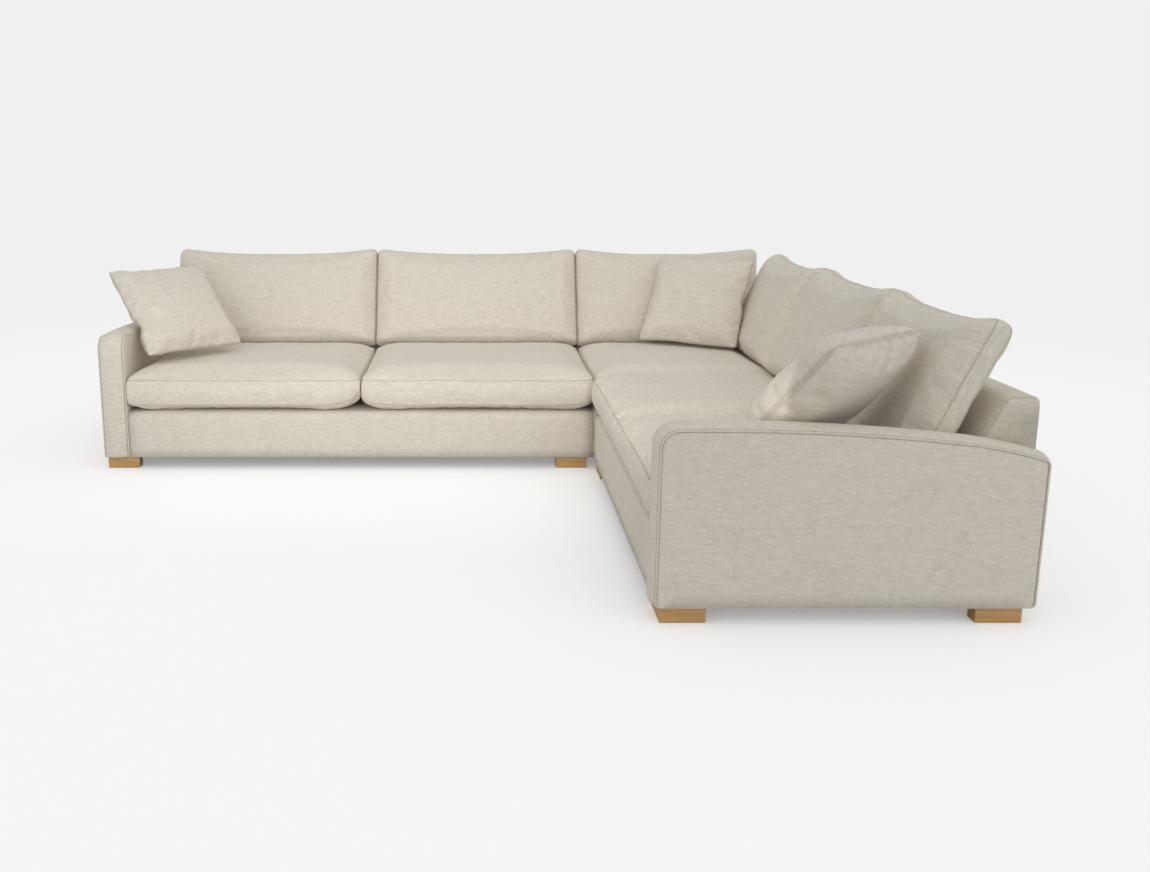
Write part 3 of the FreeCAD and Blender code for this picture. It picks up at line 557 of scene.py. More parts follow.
def boxed_cushion(name, size, form, place, body, slot, cell, limits, seed, gathered=False, spread=(0, 0)):
    half = Vector(size) / 2
    counts = [max(3, round(length / cell)) for length in size]
    if gathered:
        counts[0] = round(size[0] / 0.0055)
    counts[2] = max(4, round(size[2] / 0.012))
    mesh = gridded_box(size, counts)
    lay_maps(mesh, half, seed)
    hold = mesh.verts.layers.deform.verify()
    for vert in mesh.verts:
        on_side = half.x - abs(vert.co.x) < 1e-5 or half.y - abs(vert.co.y) < 1e-5
        if on_side and half.z - abs(vert.co.z) < 1e-5:
            vert[hold][0] = 1.0
        if gathered:
            from_seam = half.y + vert.co.y if vert.co.z > half.z - 1e-5 else 1.6 * (half.z - vert.co.z)
            if from_seam < 0.12 and vert.co.y < 0:
                vert[hold][1] = 2.0 ** -((from_seam / 0.05) ** 2)
        vert.co = form(vert.co)
        drift = noise.noise_vector(vert.co * 5.0 + Vector((seed * 7, seed, 0)))
        vert.co += drift * 0.002
    piece = piece_from(mesh, name, Matrix.Identity(4), "linen")
    piece.vertex_groups.new(name="seams")
    piece.vertex_groups.new(name="gathers")
    WAITING.append(Waiting(piece, place, body, name.replace("_cover", ""), slot, limits, gathered, spread))


class SOFA_OT_seat_cushions(Operator):
    """Make the five boxed seat cushions"""
    bl_idname = "sofa.seat_cushions"
    bl_label = "Seat Cushions"

    def execute(self, context):
        look = context.scene.sofa_sizes
        gap = 0.0015
        front = -0.006
        rise = look.upper_seam - look.lower_seam
        plans = [
            ("left_seat_cushion_1", "left_seat_1", WIDE, front, to_left(-2 * WIDE), (0.004, 0.045)),
            ("left_seat_cushion_2", "left_seat_2", WIDE, front, to_left(-WIDE), (0.02, 0.012)),
            ("corner_seat_cushion", "corner_seat", SEAT_DEPTH + gap, gap, to_left(0), (0.01, 0.01)),
            ("right_seat_cushion_1", "right_seat_1", NARROW, front, to_right(0), (0.01, 0.012)),
            ("right_seat_cushion_2", "right_seat_2", NARROW, front, to_right(-NARROW), (0.012, 0.01)),
        ]
        for number, (node, body, width, low_y, run, lifts) in enumerate(plans):
            size = (width - 2 * gap, SEAT_DEPTH - low_y, rise)
            middle = Vector((width / 2, (SEAT_DEPTH + low_y) / 2, (look.upper_seam + look.lower_seam) / 2))
            place = run @ Matrix.Translation(middle)
            form = seat_form(Vector(size) / 2, look, lifts)
            limits = (Vector(size) / 2, DECK - middle.z + 0.0004)
            boxed_cushion(node + "_cover", size, form, place, body, "cushion_fabric", 0.016, limits,
                          number + 1.0, gathered=node.startswith("right"))
        return {"FINISHED"}


class SOFA_OT_back_cushions(Operator):
    """Make the six leaning back cushions"""
    bl_idname = "sofa.back_cushions"
    bl_label = "Back Cushions"

    def execute(self, context):
        look = context.scene.sofa_sizes
        gap = 0.0005
        lean = Matrix.Rotation(math.pi / 2 - look.back_lean, 4, "X")
        foot = Matrix.Translation((0, look.back_foot, look.back_level))
        plans = [
            ("left_back_cushion_1", "left_back_1", WIDE, to_left(-2 * WIDE), (0, 0)),
            ("left_back_cushion_2", "left_back_2", WIDE, to_left(-WIDE), (0, 0)),
            ("corner_rear_back_cushion", "corner_rear_back", look.corner_back, to_left(0), (0, 0.04)),
            ("corner_side_back_cushion", "corner_side_back", NARROW, to_right(NARROW), (0, 0)),
            ("right_back_cushion_1", "right_back_1", NARROW, to_right(0), (0, 0)),
            ("right_back_cushion_2", "right_back_2", NARROW, to_right(-NARROW), (0, 0)),
        ]
        for number, (node, body, width, run, spread) in enumerate(plans):
            size = (width - 2 * gap, look.back_length, look.back_border)
            middle = Matrix.Translation((width / 2, look.back_length / 2, -look.back_border / 2))
            place = run @ foot @ lean @ middle
            form = back_form(Vector(size) / 2, look)
            boxed_cushion(node + "_cover", size, form, place, body, "cushion_fabric", 0.015,
                          (Vector(size) / 2, None), number + 11.0, spread=spread)
        return {"FINISHED"}


def scatter_form(half, fill, pinch, number):
    """Knife-edged pad: full panels, softly drawn sides, blunt corners and one pinch."""
    side, level, depth = pinch

    def form(spot):
        across, along = spot.x / half.x, spot.y / half.y
        x, y = rounded_plan(spot.x, spot.y, half, 0.016)
        fat = (max(0.0, 1 - across ** 2) * max(0.0, 1 - along ** 2)) ** 0.37
        z = spot.z + (fill[0] if spot.z > 0 else -fill[1]) * fat
        x *= 1 - 0.028 * (1 - along ** 2)
        y *= 1 - 0.028 * (1 - across ** 2)
        near = 2.0 ** -(((along - level) / 0.13) ** 2 + ((across - side) / 0.3) ** 2)
        x -= side * depth * near
        z -= math.copysign(depth * 0.9, z) * near * fat
        drift = noise.noise_vector(Vector((x * 7, y * 7, number * 3.0)))
        return Vector((x + drift.x * 0.004, y + drift.y * 0.004, z + drift.z * 0.003))
    return form


class SOFA_OT_scatter_cushions(Operator):
    """Make the three knife-edged scatter cushions"""
    bl_idname = "sofa.scatter_cushions"
    bl_label = "Scatter Cushions"

    def execute(self, context):
        look = context.scene.sofa_sizes
        left_end = -2 * WIDE - ARM_WIDTH
        near_end = -2 * NARROW - ARM_WIDTH
        plans = [
            ("left_scatter_cushion", "left_scatter", (left_end + 0.232, 0.335, 0.622), 45, 44,
             (0.068, 0.06), (-1, -0.32, 0.02)),
            ("right_scatter_cushion", "right_scatter", (0.512, near_end + 0.238, 0.612), 220, 42,
             (0.09, 0.08), (1, 0.3, 0.008)),
            ("corner_scatter_cushion", "corner_scatter", (0.531, 0.6, 0.622), -28, 36,
             (0.066, 0.06), (1, 0.05, 0.012)),
        ]
        for number, (node, body, spot, turn, lean, fill, pinch) in enumerate(plans):
            place = Matrix.Translation(Vector(spot) + Vector((HOME.x, HOME.y, 0)))
            place = place @ Matrix.Rotation(math.radians(turn), 4, "Z")
            place = place @ Matrix.Rotation(math.radians(90 - lean), 4, "X")
            size = (look.scatter, look.scatter, 0.002)
            mesh = gridded_box(size, (56, 56, 1), 0.5)
            lay_maps(mesh, Vector(size) / 2, number + 21.0)
            hold = mesh.verts.layers.deform.verify()
            form = scatter_form(Vector(size) / 2, fill, pinch, number)
            for vert in mesh.verts:
                if max(abs(vert.co.x), abs(vert.co.y)) > look.scatter / 2 - 1e-5:
                    vert[hold][0] = 1.0
                vert.co = form(vert.co)
            piece = piece_from(mesh, node + "_cover", Matrix.Identity(4), "linen")
            piece.vertex_groups.new(name="seams")
            WAITING.append(Waiting(piece, place, body, node, "scatter_fabric", None, False, (0, 0)))
        return {"FINISHED"}


def fill_cushions(waits, frames=20):
    """Blow the cushions up with cloth simulation, sewn seams held, and keep how far they move in bounds."""
    scene = bpy.context.scene
    before = {}
    for wait in waits:
        piece = wait.piece
        before[piece.name] = [vert.co.copy() for vert in piece.data.vertices]
        cloth = piece.modifiers.new("Filling", "CLOTH")
        settings = cloth.settings
        settings.quality = 5
        settings.mass = 0.25
        settings.tension_stiffness = 12
        settings.compression_stiffness = 12
        settings.shear_stiffness = 6
        settings.bending_stiffness = 0.4
        settings.use_pressure = True
        settings.effector_weights.gravity = 0
        boxed = wait.limits is not None
        settings.uniform_pressure_force = 2.5 if boxed else 3.0
        settings.shrink_min = -0.012 if boxed else -0.03
        settings.vertex_group_mass = "seams"
        settings.pin_stiffness = 1.0
        cloth.collision_settings.use_collision = False
        cloth.point_cache.frame_start = 1
        cloth.point_cache.frame_end = frames
    for number in range(1, frames + 1):
        scene.frame_set(number)
    view = bpy.context.evaluated_depsgraph_get()
    for wait in waits:
        piece = wait.piece
        blown = piece.evaluated_get(view).data
        spots = [vert.co.copy() for vert in blown.vertices]
        cap = 0.02 if "seat" in wait.node else 0.012
        for vert, start, end in zip(piece.data.vertices, before[piece.name], spots):
            move = end - start
            if move.length > cap:
                move = move.normalized() * cap
            vert.co = start + move
        piece.modifiers.remove(piece.modifiers["Filling"])
    scene.frame_set(1)


def gather(piece):
    """Pucker the cloth along the front seam, where a long panel is eased onto a shorter border."""
    view = bpy.context.evaluated_depsgraph_get()
    data = bpy.data.meshes.new_from_object(
        piece.evaluated_get(view), preserve_all_data_layers=True, depsgraph=view)
    piece.modifiers.clear()
    piece.data = data
    group = piece.vertex_groups["gathers"].index
    pitch, height, wander = 0.032, 0.0038, 0.016
    outward = [vert.normal.copy() for vert in data.vertices]
    for vert, normal in zip(data.vertices, outward):
        held = [entry.weight for entry in vert.groups if entry.group == group]
        if held and held[0] > 0.01:
            drift = noise.noise(Vector((vert.co.x * 9, vert.co.y * 5, 0.3)))
            strength = 0.8 + 0.9 * noise.noise(Vector((vert.co.x * 14, 0.7, 2.0)))
            fold = math.sin(2 * math.pi * (vert.co.x + drift * wander) / pitch)
            vert.co += normal * (fold * height * held[0] * max(0.0, strength))
    return data


def rest_on_seat(data, seats):
    """Flatten the foot of a back cushion where it stands on a seat cushion."""
    view = bpy.context.evaluated_depsgraph_get()
    tops = [BVHTree.FromObject(seat, view) for seat in seats]
    above_seats, start, gap = 0.44, 0.6, 0.001
    for vert in data.vertices:
        if vert.co.z < above_seats:
            for top in tops:
                spot = top.ray_cast(Vector((vert.co.x, vert.co.y, start)), Vector((0, 0, -1)))[0]
                if spot and spot.z + gap > vert.co.z:
                    vert.co.z = spot.z + gap


class SOFA_OT_settle_cushions(Operator):
    """Fill the cushions and put them in their places"""
    bl_idname = "sofa.settle_cushions"
    bl_label = "Fill and Place Cushions"

    def execute(self, context):
        fill_cushions(WAITING)
        for wait in WAITING:
            data = wait.piece.data
            if wait.limits:
                half, floor = wait.limits
                for vert in data.vertices:
                    vert.co.x = min(max(vert.co.x, -half.x), half.x)
                    if wait.node == "corner_seat_cushion":
                        vert.co.y = max(vert.co.y, -half.y)
                    raised = (vert.co.y / half.y + 1) / 2
                    vert.co.x += math.copysign(wait.spread[vert.co.x > 0], vert.co.x) * raised * (
                        vert.co.x / half.x) ** 2
                    if floor is not None:
                        vert.co.z = max(vert.co.z, floor)
            smooth_finish(wait.piece)
            if wait.gathered:
                data = gather(wait.piece)
            data.transform(wait.place)
            if "back" in wait.node:
                rest_on_seat(data, [other.piece for other in WAITING if "seat" in other.node])
            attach(wait.piece, wait.body)
            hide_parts(wait.node)
            0.55 if "scatter" in wait.node else 0.8
        return {"FINISHED"}


# Covers of the arms, bases and low backs

class Outline:
    """A pen that draws an outline of lines and arcs in the plane of y and z."""

    def __init__(self, mesh, x, y, z):
        self.mesh = mesh
        self.heading = math.pi / 2
        self.run = mesh.verts.layers.float.get("run") or mesh.verts.layers.float.new("run")
        self.first = self.tip = mesh.verts.new((x, y, z))
        self.length = 0.0

    def ahead(self):
        return Vector((0, math.cos(self.heading), math.sin(self.heading)))

    def line(self, length, cell=0.04):
        steps = max(1, round(length / cell))
        for _ in range(steps):
            made = bmesh.ops.extrude_vert_indiv(self.mesh, verts=[self.tip])
            self.tip = made["verts"][0]
            bmesh.ops.translate(self.mesh, vec=self.ahead() * (length / steps), verts=[self.tip])
            self.length += length / steps
            self.tip[self.run] = self.length

    def bend(self, radius, turn, steps):
        side = Vector((0, math.sin(self.heading), -math.cos(self.heading)))
        centre = self.tip.co + side * radius
        for _ in range(steps):
            made = bmesh.ops.extrude_vert_indiv(self.mesh, verts=[self.tip])
            self.tip = made["verts"][0]
            bmesh.ops.rotate(
                self.mesh, cent=centre, matrix=Matrix.Rotation(-turn / steps, 3, "X"), verts=[self.tip])
            self.length += radius * turn / steps
            self.tip[self.run] = self.length
        self.heading -= turn

    def close(self):
        bmesh.ops.pointmerge(self.mesh, verts=[self.first, self.tip], merge_co=self.first.co)


def arm_outline(mesh, x, out):
    """Side outline of an arm, moved outwards by a distance in front, on top and behind."""
    front, rear, top = -0.004, 1.04, 0.55
    toe, nose, heel = 0.012, 0.055, 0.02
    sweep, fall, end_slope = 6.0, 1.25, math.radians(16)
    sweep_turn = math.asin(0.65 / sweep)
    pen = Outline(mesh, x, front - out, BASE_LOW + toe)
    pen.line(top - nose - BASE_LOW - toe)
    pen.bend(nose + out, math.pi / 2, 10)
    pen.line(0.1, 0.033)
    pen.bend(sweep + out, sweep_turn, 18)
    pen.bend(fall + out, end_slope - sweep_turn, 6)
    room = rear + out - (heel + out) * (1 - math.sin(end_slope)) - pen.tip.co.y
    pen.line(room / math.cos(end_slope), 0.035)
    pen.bend(heel + out, math.pi / 2 - end_slope, 6)
    pen.line(pen.tip.co.z - BASE_LOW - toe)
    pen.bend(toe, math.pi / 2, 3)
    pen.line(pen.tip.co.y - front + out - toe, 0.05)
    pen.bend(toe, math.pi / 2, 3)
    pen.close()


def arm_cover_mesh(width, crown, welt):
    """Border and padded cheeks, bridged through a row of outlines; the cheeks close on grids."""
    stations = []
    columns = 10
    for column in range(columns + 1):
        share = column / columns
        lift = 1 - abs(2 * share - 1) ** 2.2
        stations.append((welt + share * (width - 2 * welt), crown * lift))
    cheek = [(welt * 0.75, -welt * 0.9), (welt * 0.5, -welt * 1.25), (welt * 0.2, -welt * 1.9),
             (0.0, -welt * 3.2)]
    stations = cheek[::-1] + stations + [(width - x, out) for x, out in cheek]
    mesh = bmesh.new()
    before = None
    rings = []
    for x, out in stations:
        old = set(mesh.edges)
        arm_outline(mesh, x, out)
        ring = [edge for edge in mesh.edges if edge not in old]
        if before:
            bmesh.ops.bridge_loops(mesh, edges=before + ring)
        rings.append(ring)
        before = ring
    for ring in (rings[0], rings[-1]):
        cheek = bmesh.ops.contextual_create(mesh, geom=ring)["faces"]
        for axis, count in ((1, 24), (2, 12)):
            verts = [vert.co[axis] for face in cheek for vert in face.verts]
            for number in range(1, count):
                spot = Vector((0, 0, 0))
                spot[axis] = min(verts) + (max(verts) - min(verts)) * number / count
                normal = Vector((0, 0, 0))
                normal[axis] = 1
                edges = {edge for face in cheek for edge in face.edges}
                corners = {vert for face in cheek for vert in face.verts}
                cut = bmesh.ops.bisect_plane(
                    mesh, geom=[*cheek, *edges, *corners], plane_co=spot, plane_no=normal, dist=1e-6)
                cheek = [item for item in cut["geom"] if isinstance(item, bmesh.types.BMFace)]
    bmesh.ops.recalc_face_normals(mesh, faces=mesh.faces)
    mesh.normal_update()
    return mesh


def arm_maps(mesh, width, welt, seed):
    weave = mesh.loops.layers.uv.new("weave")
    seam = mesh.loops.layers.uv.new("seam")
    run = mesh.verts.layers.float["run"]
    total = max(vert[run] for vert in mesh.verts)
    for face in mesh.faces:
        sideways = abs(face.normal.x) > 0.8
        runs = [loop.vert[run] for loop in face.loops]
        wrapped = max(runs) - min(runs) > total / 2
        for loop in face.loops:
            spot = loop.vert.co
            along = loop.vert[run]
            if wrapped and along < total / 2:
                along += total
            if sideways:
                loop[weave].uv = (spot.y + seed, spot.z)
            else:
                loop[weave].uv = (spot.x + seed * 1.3, along)
            inside = min(spot.x - welt, width - welt - spot.x)
            loop[seam].uv = (along, abs(inside) if abs(spot.x - width / 2) < width / 2 - 0.0001 else 0.02)


def welt_cord(name, x, out, radius, seed):
    """Piping along an arm's outline, as a tube of even thickness."""
    path = bmesh.new()
    arm_outline(path, x, out)
    path.verts.ensure_lookup_table()
    line = bpy.data.curves.new(name + "_path", "CURVE")
    line.dimensions = "3D"
    line.bevel_depth = radius
    line.bevel_resolution = 2
    spline = line.splines.new("POLY")
    spline.points.add(len(path.verts) - 1)
    for point, vert in zip(spline.points, path.verts):
        point.co = (*vert.co, 1)
    spline.use_cyclic_u = True
    path.free()
    holder = bpy.data.objects.new(name + "_path", line)
    tube = bpy.data.meshes.new_from_object(holder)
    bpy.data.objects.remove(holder)
    mesh = bmesh.new()
    mesh.from_mesh(tube)
    weave = mesh.loops.layers.uv.new("weave")
    seam = mesh.loops.layers.uv.new("seam")
    for face in mesh.faces:
        for loop in face.loops:
            spot = loop.vert.co
            loop[weave].uv = (spot.y + spot.z + seed, spot.x + spot.z)
            loop[seam].uv = (0, 1)
    bmesh.ops.recalc_face_normals(mesh, faces=mesh.faces)
    return mesh


class SOFA_OT_arm_covers(Operator):
    """Make the covers and the welts of the two arms"""
    bl_idname = "sofa.arm_covers"
    bl_label = "Arm Covers"

    def execute(self, context):
        look = context.scene.sofa_sizes
        width, welt = ARM_WIDTH, 0.006
        for side, place in (("left", to_left(-2 * WIDE - width)), ("right", to_right(-2 * NARROW))):
            mesh = arm_cover_mesh(width, look.arm_crown, welt)
            arm_maps(mesh, width, welt, 31.0 if side == "left" else 37.0)
            piece = piece_from(mesh, side + "_arm_fabric", place, "linen")
            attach(piece, "sofa")
            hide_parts(side + "_arm_cover")
            for name, x in (("outer", welt / 2), ("inner", width - welt / 2)):
                cord = welt_cord(side + name, x, -welt * 0.35, welt * 0.48, 41.0)
                bead = piece_from(cord, "%s_arm_%s_welt" % (side, name), place, "linen")
                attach(bead, "sofa")
                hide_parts(side + "_arm_piping")
        return {"FINISHED"}


def wavy(mesh, amount, seed):
    """Let the cloth of a tight panel stand a little uneven."""
    mesh.normal_update()
    for vert in mesh.verts:
        vert.co += vert.normal * (noise.noise(vert.co * 7.0 + Vector((seed, 0, 0))) * amount)


def slice_up(mesh, axis, low, high, step):
    normal = Vector((0, 0, 0))
    normal[axis] = 1
    count = max(1, round((high - low) / step))
    for number in range(1, count):
        spot = normal * (low + (high - low) * number / count)
        geometry = list(mesh.verts) + list(mesh.edges) + list(mesh.faces)
        bmesh.ops.bisect_plane(mesh, geom=geometry, plane_co=spot, plane_no=normal, dist=1e-6)


def base_skin(width, depth, edge):
    """Outside of a base: a box open below, with a full round along the top of its front."""
    mesh = bmesh.new()
    bmesh.ops.create_cube(mesh, size=1.0)
    bmesh.ops.scale(mesh, vec=(width, depth, DECK - BASE_LOW), verts=mesh.verts)
    bmesh.ops.translate(mesh, vec=(width / 2, depth / 2, (DECK + BASE_LOW) / 2), verts=mesh.verts)
    mesh.normal_update()
    under = [face for face in mesh.faces if face.normal.z < -0.5]
    bmesh.ops.delete(mesh, geom=under, context="FACES_ONLY")
    front = [item for item in mesh.edges
             if all(vert.co.y < 0.01 and vert.co.z > DECK - 0.01 for vert in item.verts)]
    bmesh.ops.bevel(mesh, geom=front, offset=edge, offset_type="OFFSET", segments=8, profile=0.5,
                    affect="EDGES", material=-1)
    slice_up(mesh, 0, 0, width, 0.05)
    slice_up(mesh, 2, BASE_LOW, DECK - edge, 0.04)
    return mesh


class SOFA_OT_base_covers(Operator):
    """Make the covers of the three bases"""
    bl_idname = "sofa.base_covers"
    bl_label = "Base Covers"

    def execute(self, context):
        look = context.scene.sofa_sizes
        depth = RUN_DEPTH - SKIRT
        plans = [
            ("left_unit", 2 * WIDE, to_left(-2 * WIDE)),
            ("corner_unit", depth, to_left(0)),
            ("right_unit", 2 * NARROW, to_right(0)),
        ]
        for number, (unit, width, place) in enumerate(plans):
            mesh = base_skin(width, depth, look.base_edge)
            lay_maps(mesh, None, 51.0 + number)
            wavy(mesh, 0.0016, number * 3.1)
            piece = piece_from(mesh, unit + "_base_fabric", place, "linen")
            wall = piece.modifiers.new("Wall", "SOLIDIFY")
            wall.thickness = 0.006
            wall.offset = -1
            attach(piece, "sofa")
            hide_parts(unit + "_base_cover")
        return {"FINISHED"}


def low_back_skin(width, edge):
    """Low back: sloped front, narrow top, upright rear with its skirt, drawn as a side and extruded."""
    mesh = bmesh.new()
    section = [
        (BACK_FOOT, DECK), (BACK_SHOULDER, BACK_TOP), (RUN_DEPTH, BACK_TOP), (RUN_DEPTH, BASE_LOW),
        (RUN_DEPTH - SKIRT, BASE_LOW), (RUN_DEPTH - SKIRT, DECK),
    ]
    corners = [mesh.verts.new((0, y, z)) for y, z in section]
    side = mesh.faces.new(corners)
    made = bmesh.ops.extrude_face_region(mesh, geom=[side])
    moved = [item for item in made["geom"] if isinstance(item, bmesh.types.BMVert)]
    bmesh.ops.translate(mesh, vec=(width, 0, 0), verts=moved)
    bmesh.ops.recalc_face_normals(mesh, faces=mesh.faces)
    long_top = [item for item in edges_along(mesh, 0) if item.verts[0].co.z > BACK_TOP - 0.01]
    bmesh.ops.bevel(mesh, geom=long_top, offset=edge, offset_type="OFFSET", segments=5, profile=0.5,
                    affect="EDGES", material=-1)
    return mesh


def end_seams(mesh, width):
    """Seam round each boxed end of a low back, where the end panel meets the slope, top and rear."""
    seam = mesh.loops.layers.uv["seam"]
    slope = Vector((0, BACK_TOP - DECK, BACK_FOOT - BACK_SHOULDER)).normalized()
    for face in mesh.faces:
        is_end = abs(face.normal.x) > 0.8
        for loop in face.loops:
            spot = loop.vert.co
            if is_end:
                from_slope = (spot - Vector((0, BACK_FOOT, DECK))).dot(slope)
                inside = min(from_slope, BACK_TOP - spot.z, RUN_DEPTH - spot.y)
            else:
                inside = min(spot.x, width - spot.x)
            loop[seam].uv = (spot.y, max(0.0, inside - 0.003) if spot.z > DECK - 0.001 else 1.0)


class SOFA_OT_low_backs(Operator):
    """Make the covers of the four low backs"""
    bl_idname = "sofa.low_backs"
    bl_label = "Low Backs"

    def execute(self, context):
        plans = [
            ("left_back", 2 * WIDE, to_left(-2 * WIDE)),
            ("corner_rear_back", RUN_DEPTH, to_left(0)),
            ("corner_side_back", RUN_DEPTH, to_right(RUN_DEPTH)),
            ("right_back", 2 * NARROW, to_right(0)),
        ]
        for number, (label, width, place) in enumerate(plans):
            mesh = low_back_skin(width, 0.018)
            if label == "corner_side_back":
                slope = Vector((BACK_TOP - DECK, 0, BACK_SHOULDER - BACK_FOOT)).normalized()
                spot = Vector((RUN_DEPTH - BACK_FOOT, 0, DECK))
                geometry = list(mesh.verts) + list(mesh.edges) + list(mesh.faces)
                bmesh.ops.bisect_plane(
                    mesh, geom=geometry, plane_co=spot, plane_no=slope, clear_inner=True, dist=1e-6)
                bmesh.ops.holes_fill(mesh, edges=[edge for edge in mesh.edges if edge.is_boundary])
            mesh.normal_update()
            ends = [item for item in mesh.edges if len(item.link_faces) == 2
                    and any(abs(face.normal.x) > 0.9 for face in item.link_faces)
                    and min(vert.co.z for vert in item.verts) > DECK - 0.001
                    and item.calc_face_angle(0) > 0.5]
            bmesh.ops.bevel(mesh, geom=ends, offset=0.005, offset_type="OFFSET", segments=3, profile=0.5,
                            affect="EDGES", material=-1)
            slice_up(mesh, 0, 0, width, 0.06)
            slice_up(mesh, 2, DECK, BACK_TOP - 0.02, 0.05)
            lay_maps(mesh, None, 61.0 + number)
            end_seams(mesh, width)
            piece = piece_from(mesh, label + "_fabric", place, "linen")
            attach(piece, "sofa")
            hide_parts(label + "_cover")
        return {"FINISHED"}


class SOFA_OT_carried_parts(Operator):
    """Give the feet, frames, springs, webbing, linings and fasteners their finishes"""
    bl_idname = "sofa.carried_parts"
    bl_label = "Feet and Frames"

    def execute(self, context):
        by_ending = {
            "_foot": "oiled_oak", "_frame": "frame_timber", "_webbing": "webbing",
            "_springs": "spring_wire", "_dust_cover": "lining", "_bolts": "zinc_steel",
            "_screws": "zinc_steel", "_plates": "zinc_steel",
        }
        for name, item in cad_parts.items():
            for ending, finish in by_ending.items():
                if name.endswith(ending):
                    for held in item.material_slots:
                        held.material = material_of(finish)
        return {"FINISHED"}


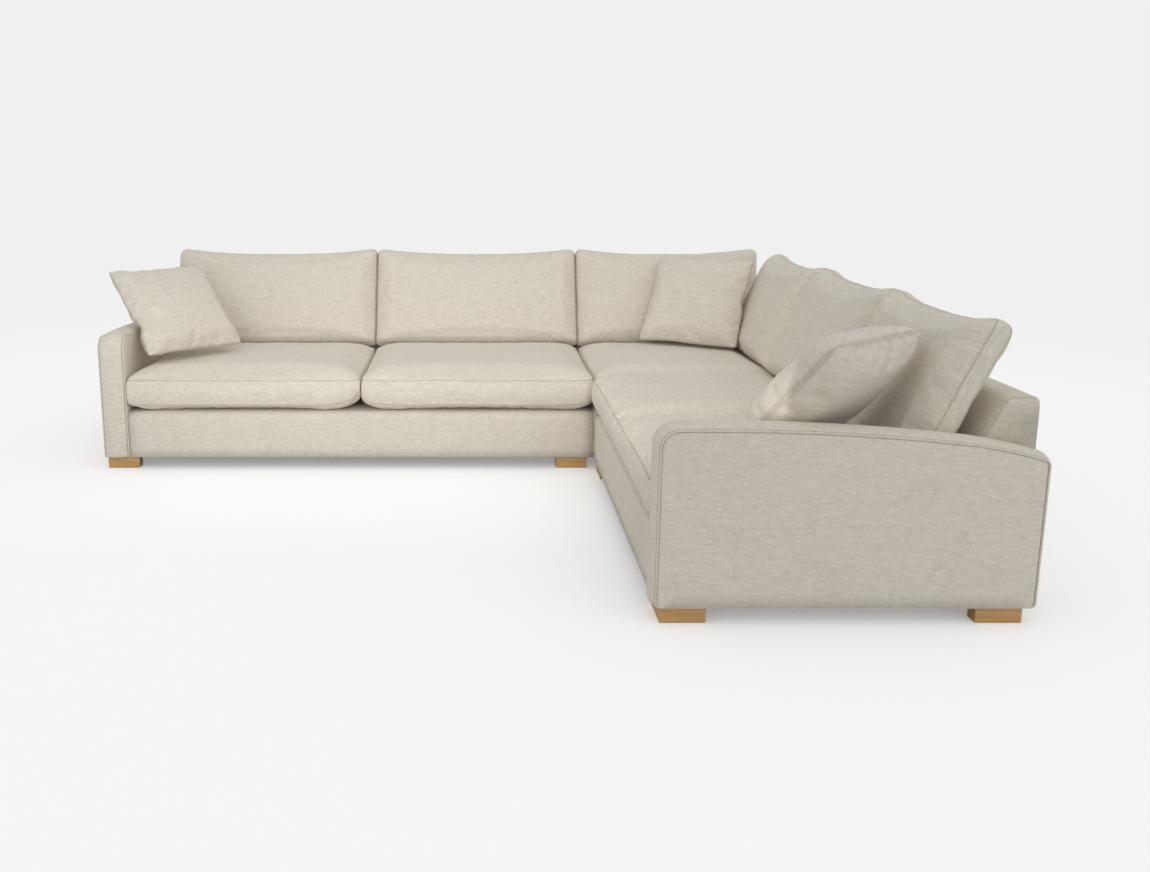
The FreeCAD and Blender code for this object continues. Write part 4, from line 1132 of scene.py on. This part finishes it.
class SOFA_OT_studio(Operator):
    """Set up the floor, the lamps and the camera"""
    bl_idname = "sofa.studio"
    bl_label = "Studio"

    def execute(self, context):
        studio = context.scene.sofa_studio
        mesh = bmesh.new()
        bmesh.ops.create_circle(mesh, cap_ends=True, radius=14.0, segments=96)
        data = bpy.data.meshes.new("studio_floor")
        mesh.to_mesh(data)
        mesh.free()
        floor = bpy.data.objects.new("studio_floor", data)
        context.collection.objects.link(floor)
        data.materials.append(self.floor_paint())
        world = bpy.data.worlds.new("studio")
        context.scene.world = world
        world.use_nodes = True
        tree = world.node_tree
        sky = tree.nodes["Background"]
        sky.inputs["Color"].default_value = (1, 1, 1, 1)
        way = new_node(tree, "ShaderNodeTexCoord")
        lean = new_node(tree, "ShaderNodeVectorMath", operation="DOT_PRODUCT")
        lean.inputs[1].default_value = studio.slant
        tree.links.new(way.outputs["Generated"], lean.inputs[0])
        tree.links.new(math_node(tree, "ADD", lean.outputs["Value"], studio.fill), sky.inputs["Strength"])
        white = new_node(tree, "ShaderNodeBackground")
        white.inputs["Color"].default_value = BACKDROP
        rays = new_node(tree, "ShaderNodeLightPath")
        seen = math_node(tree, "MAXIMUM", rays.outputs["Is Camera Ray"], rays.outputs["Is Glossy Ray"])
        blend = new_node(tree, "ShaderNodeMixShader")
        tree.links.new(seen, blend.inputs[0])
        tree.links.new(sky.outputs[0], blend.inputs[1])
        tree.links.new(white.outputs[0], blend.inputs[2])
        tree.links.new(blend.outputs[0], tree.nodes["World Output"].inputs["Surface"])
        corner = Vector((HOME.x, HOME.y, 0))
        spot, target = Vector((-0.85, -1.35, 0.85)), Vector((-0.75, 0.75, 0.66))
        self.lamp("key", corner + spot, corner + target, studio.key)
        camera_data = bpy.data.cameras.new("camera")
        camera_data.lens = studio.lens
        camera_data.sensor_width = 36
        camera_data.shift_x, camera_data.shift_y = studio.shift
        camera = bpy.data.objects.new("camera", camera_data)
        camera.location = corner + Vector(studio.camera)
        camera.rotation_euler = (math.pi / 2 - studio.pitch, 0, 0)
        context.collection.objects.link(camera)
        context.scene.camera = camera
        context.scene.view_settings.view_transform = "Standard"
        return {"FINISHED"}

    def lamp(self, name, spot, target, power):
        data = bpy.data.lights.new(name, "AREA")
        data.shape = "RECTANGLE"
        data.size = 2.4
        data.size_y = 0.8
        data.energy = power
        data.spread = math.radians(90)
        lamp = bpy.data.objects.new(name, data)
        lamp.location = spot
        lamp.rotation_euler = (target - spot).to_track_quat("-Z", "Y").to_euler()
        lamp.visible_camera = False
        bpy.context.collection.objects.link(lamp)

    def floor_paint(self):
        material, tree, shader = new_material("studio_floor")
        rays = new_node(tree, "ShaderNodeLightPath")
        lit, shown = (0.88, 0.88, 0.88, 1), (0.86, 0.86, 0.86, 1)
        tree.links.new(mixed(tree, rays.outputs["Is Camera Ray"], lit, shown), shader.inputs["Base Color"])
        shader.inputs["Roughness"].default_value = 1.0
        shader.inputs["Specular IOR Level"].default_value = 0.0
        shader.inputs["Emission Color"].default_value = (1, 1, 1, 1)
        glow = math_node(tree, "MULTIPLY", rays.outputs["Is Camera Ray"], 0.275)
        tree.links.new(glow, shader.inputs["Emission Strength"])
        place = new_node(tree, "ShaderNodeTexCoord")
        reach = new_node(tree, "ShaderNodeVectorMath", operation="LENGTH")
        tree.links.new(place.outputs["Object"], reach.inputs[0])
        far = new_node(tree, "ShaderNodeMapRange", interpolation_type="SMOOTHSTEP")
        far.inputs["From Min"].default_value = 2.5
        far.inputs["From Max"].default_value = 6.5
        tree.links.new(reach.outputs["Value"], far.inputs["Value"])
        plain = new_node(tree, "ShaderNodeEmission")
        plain.inputs["Color"].default_value = BACKDROP
        blend = new_node(tree, "ShaderNodeMixShader")
        shown_far = math_node(tree, "MULTIPLY", far.outputs["Result"], rays.outputs["Is Camera Ray"])
        tree.links.new(shown_far, blend.inputs[0])
        tree.links.new(shader.outputs[0], blend.inputs[1])
        tree.links.new(plain.outputs[0], blend.inputs[2])
        tree.links.new(blend.outputs[0], tree.nodes["Material Output"].inputs["Surface"])
        return material


class SOFA_PT_panel(Panel):
    """Sizes, finishes and steps of the sofa"""
    bl_idname = "SOFA_PT_panel"
    bl_label = "Corner Sofa"
    bl_space_type = "VIEW_3D"
    bl_region_type = "UI"
    bl_category = "Sofa"

    def draw(self, context):
        for group in (context.scene.sofa_sizes, context.scene.sofa_finishes, context.scene.sofa_studio):
            box = self.layout.box()
            for name in group.bl_rna.properties.keys():
                if name not in ("rna_type", "name"):
                    box.prop(group, name)
        for step in STEPS:
            self.layout.operator(step.bl_idname)


STEPS = (
    SOFA_OT_seat_cushions, SOFA_OT_back_cushions, SOFA_OT_scatter_cushions, SOFA_OT_settle_cushions,
    SOFA_OT_arm_covers, SOFA_OT_base_covers, SOFA_OT_low_backs, SOFA_OT_carried_parts, SOFA_OT_studio,
)
GROUPS = (SofaSizes, SofaFinishes, SofaStudio)


def register():
    for item in (*GROUPS, *STEPS, SOFA_PT_panel):
        bpy.utils.register_class(item)
    bpy.types.Scene.sofa_sizes = PointerProperty(type=SofaSizes)
    bpy.types.Scene.sofa_finishes = PointerProperty(type=SofaFinishes)
    bpy.types.Scene.sofa_studio = PointerProperty(type=SofaStudio)


def unregister():
    del bpy.types.Scene.sofa_studio, bpy.types.Scene.sofa_finishes, bpy.types.Scene.sofa_sizes
    for item in reversed((*GROUPS, *STEPS, SOFA_PT_panel)):
        bpy.utils.unregister_class(item)


def main():
    register()
    for step in STEPS:
        family, action = step.bl_idname.split(".")
        getattr(getattr(bpy.ops, family), action)()


if __name__ == "__main__":
    main()
